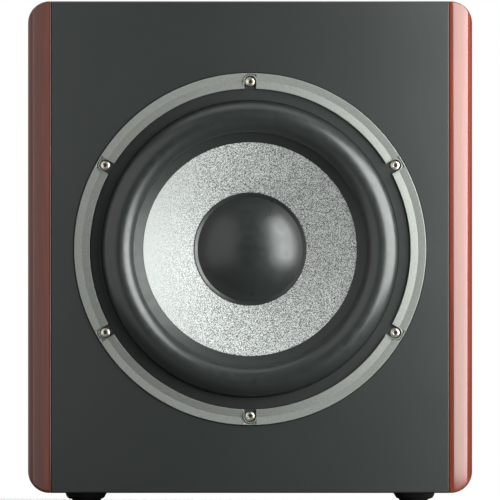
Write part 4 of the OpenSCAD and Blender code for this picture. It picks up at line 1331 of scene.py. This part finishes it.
class SUBWOOFER_OT_controls(bpy.types.Operator):
    """Knobs, sockets, switches and marks on the amplifier's plate"""

    bl_idname = "subwoofer.controls"
    bl_label = "Controls"

    def execute(self, context):
        soften_all((
            ("level_knob", "knob", 0.2), ("crossover_knob", "knob", 0.2), ("input_sockets", "plastic", 0.2),
            ("output_sockets", "plastic", 0.2), ("mains_inlet", "plastic", 0.3),
            ("switch_frame", "plastic", 0.3), ("power_rocker", "plastic", 0.4),
            ("fuse_drawer", "plastic", 0.2), ("footswitch_jack", "nickel", 0.2),
            ("panel_fasteners", "zinc", 0.1), ("phase_switch", "plastic", 0.2),
            ("phase_switch_body", "zinc", 0.2), ("potentiometers", "zinc", 0.2),
            ("left_latch", "nickel", 0.25),
            ("right_latch", "nickel", 0.25), ("status_led", "light", 0.15), ("inlet_pins", "nickel", 0.25),
            ("output_pins", "gold", 0.08), ("level_shaft", "nickel", 0.2), ("crossover_shaft", "nickel", 0.2),
            ("fuse", "glass", 0.2)))
        knob_pointer("level_pointer", LEVEL_X, "level_control")
        knob_pointer("crossover_pointer", CROSSOVER_X, "crossover_control")
        dial_marks()
        panel_marks()
        rocker_marks()
        return {"FINISHED"}


class SUBWOOFER_OT_stage(bpy.types.Operator):
    """Floor, lights and camera"""

    bl_idname = "subwoofer.stage"
    bl_label = "Stage"

    def execute(self, context):
        settings = context.scene.subwoofer_stage
        stage_floor(settings)
        stage_world(settings)
        stage_camera(settings)
        softbox("key_right", (0.741, Y_FRONT - 0.17, 0.40), (0.025, Y_FRONT + 0.456, 0.2), 1.08, 0.78,
                settings.key)
        softbox("fill_left", (-0.56, Y_FRONT - 0.3, 0.42), (0.278, Y_FRONT + 0.246, 0.35), 1.09, 0.9,
                settings.fill)
        softbox("side_left", (-0.95, Y_FRONT + 0.5, 0.4), (-0.235, Y_FRONT + 0.15, 0.3), 0.9, 0.9,
                settings.side)
        softbox("overhead", (0, Y_FRONT - 0.05, 1.25), (0, Y_FRONT + 0.1, 0.3), 1.2, 0.9, settings.top)
        softbox("rear", (0, 0.9, 0.29), (0, 0.2, 0.29), 0.4, 0.46, settings.rear)
        softbox("back_right", (1.1, 1.5, 2.0), (0, 0, 0.3), 1.2, 1.2, settings.back_right)
        softbox("back_left", (-1.2, 1.6, 1.8), (0, 0, 0.3), 1.2, 1.2, settings.back_left)
        context.scene.view_settings.view_transform = "Standard"
        return {"FINISHED"}


OPERATORS = (
    SUBWOOFER_OT_cabinet,
    SUBWOOFER_OT_woofer_front,
    SUBWOOFER_OT_woofer_motor,
    SUBWOOFER_OT_amplifier,
    SUBWOOFER_OT_controls,
    SUBWOOFER_OT_stage,
)


class SUBWOOFER_PT_panel(bpy.types.Panel):
    """The steps that build the subwoofer, in order"""

    bl_label = "Subwoofer"
    bl_idname = "SUBWOOFER_PT_panel"
    bl_space_type = "VIEW_3D"
    bl_region_type = "UI"
    bl_category = "Subwoofer"

    def draw(self, context):
        for group in ("subwoofer_sizes", "subwoofer_colours", "subwoofer_stage"):
            settings = getattr(context.scene, group)
            box = self.layout.box()
            for name in settings.__annotations__:
                box.prop(settings, name)
        for operator in OPERATORS:
            self.layout.operator(operator.bl_idname)


SETTINGS = {
    "subwoofer_sizes": SubwooferSizes,
    "subwoofer_colours": SubwooferColours,
    "subwoofer_stage": SubwooferStage,
}


def register():
    for made in (*SETTINGS.values(), *OPERATORS, SUBWOOFER_PT_panel):
        bpy.utils.register_class(made)
    for name, group in SETTINGS.items():
        setattr(bpy.types.Scene, name, bpy.props.PointerProperty(type=group))


def unregister():
    for name in SETTINGS:
        delattr(bpy.types.Scene, name)
    for made in reversed((*SETTINGS.values(), *OPERATORS, SUBWOOFER_PT_panel)):
        bpy.utils.unregister_class(made)


def main():
    register()
    for operator in OPERATORS:
        group, name = operator.bl_idname.split(".")
        getattr(getattr(bpy.ops, group), name)()


if __name__ == "__main__":
    main()
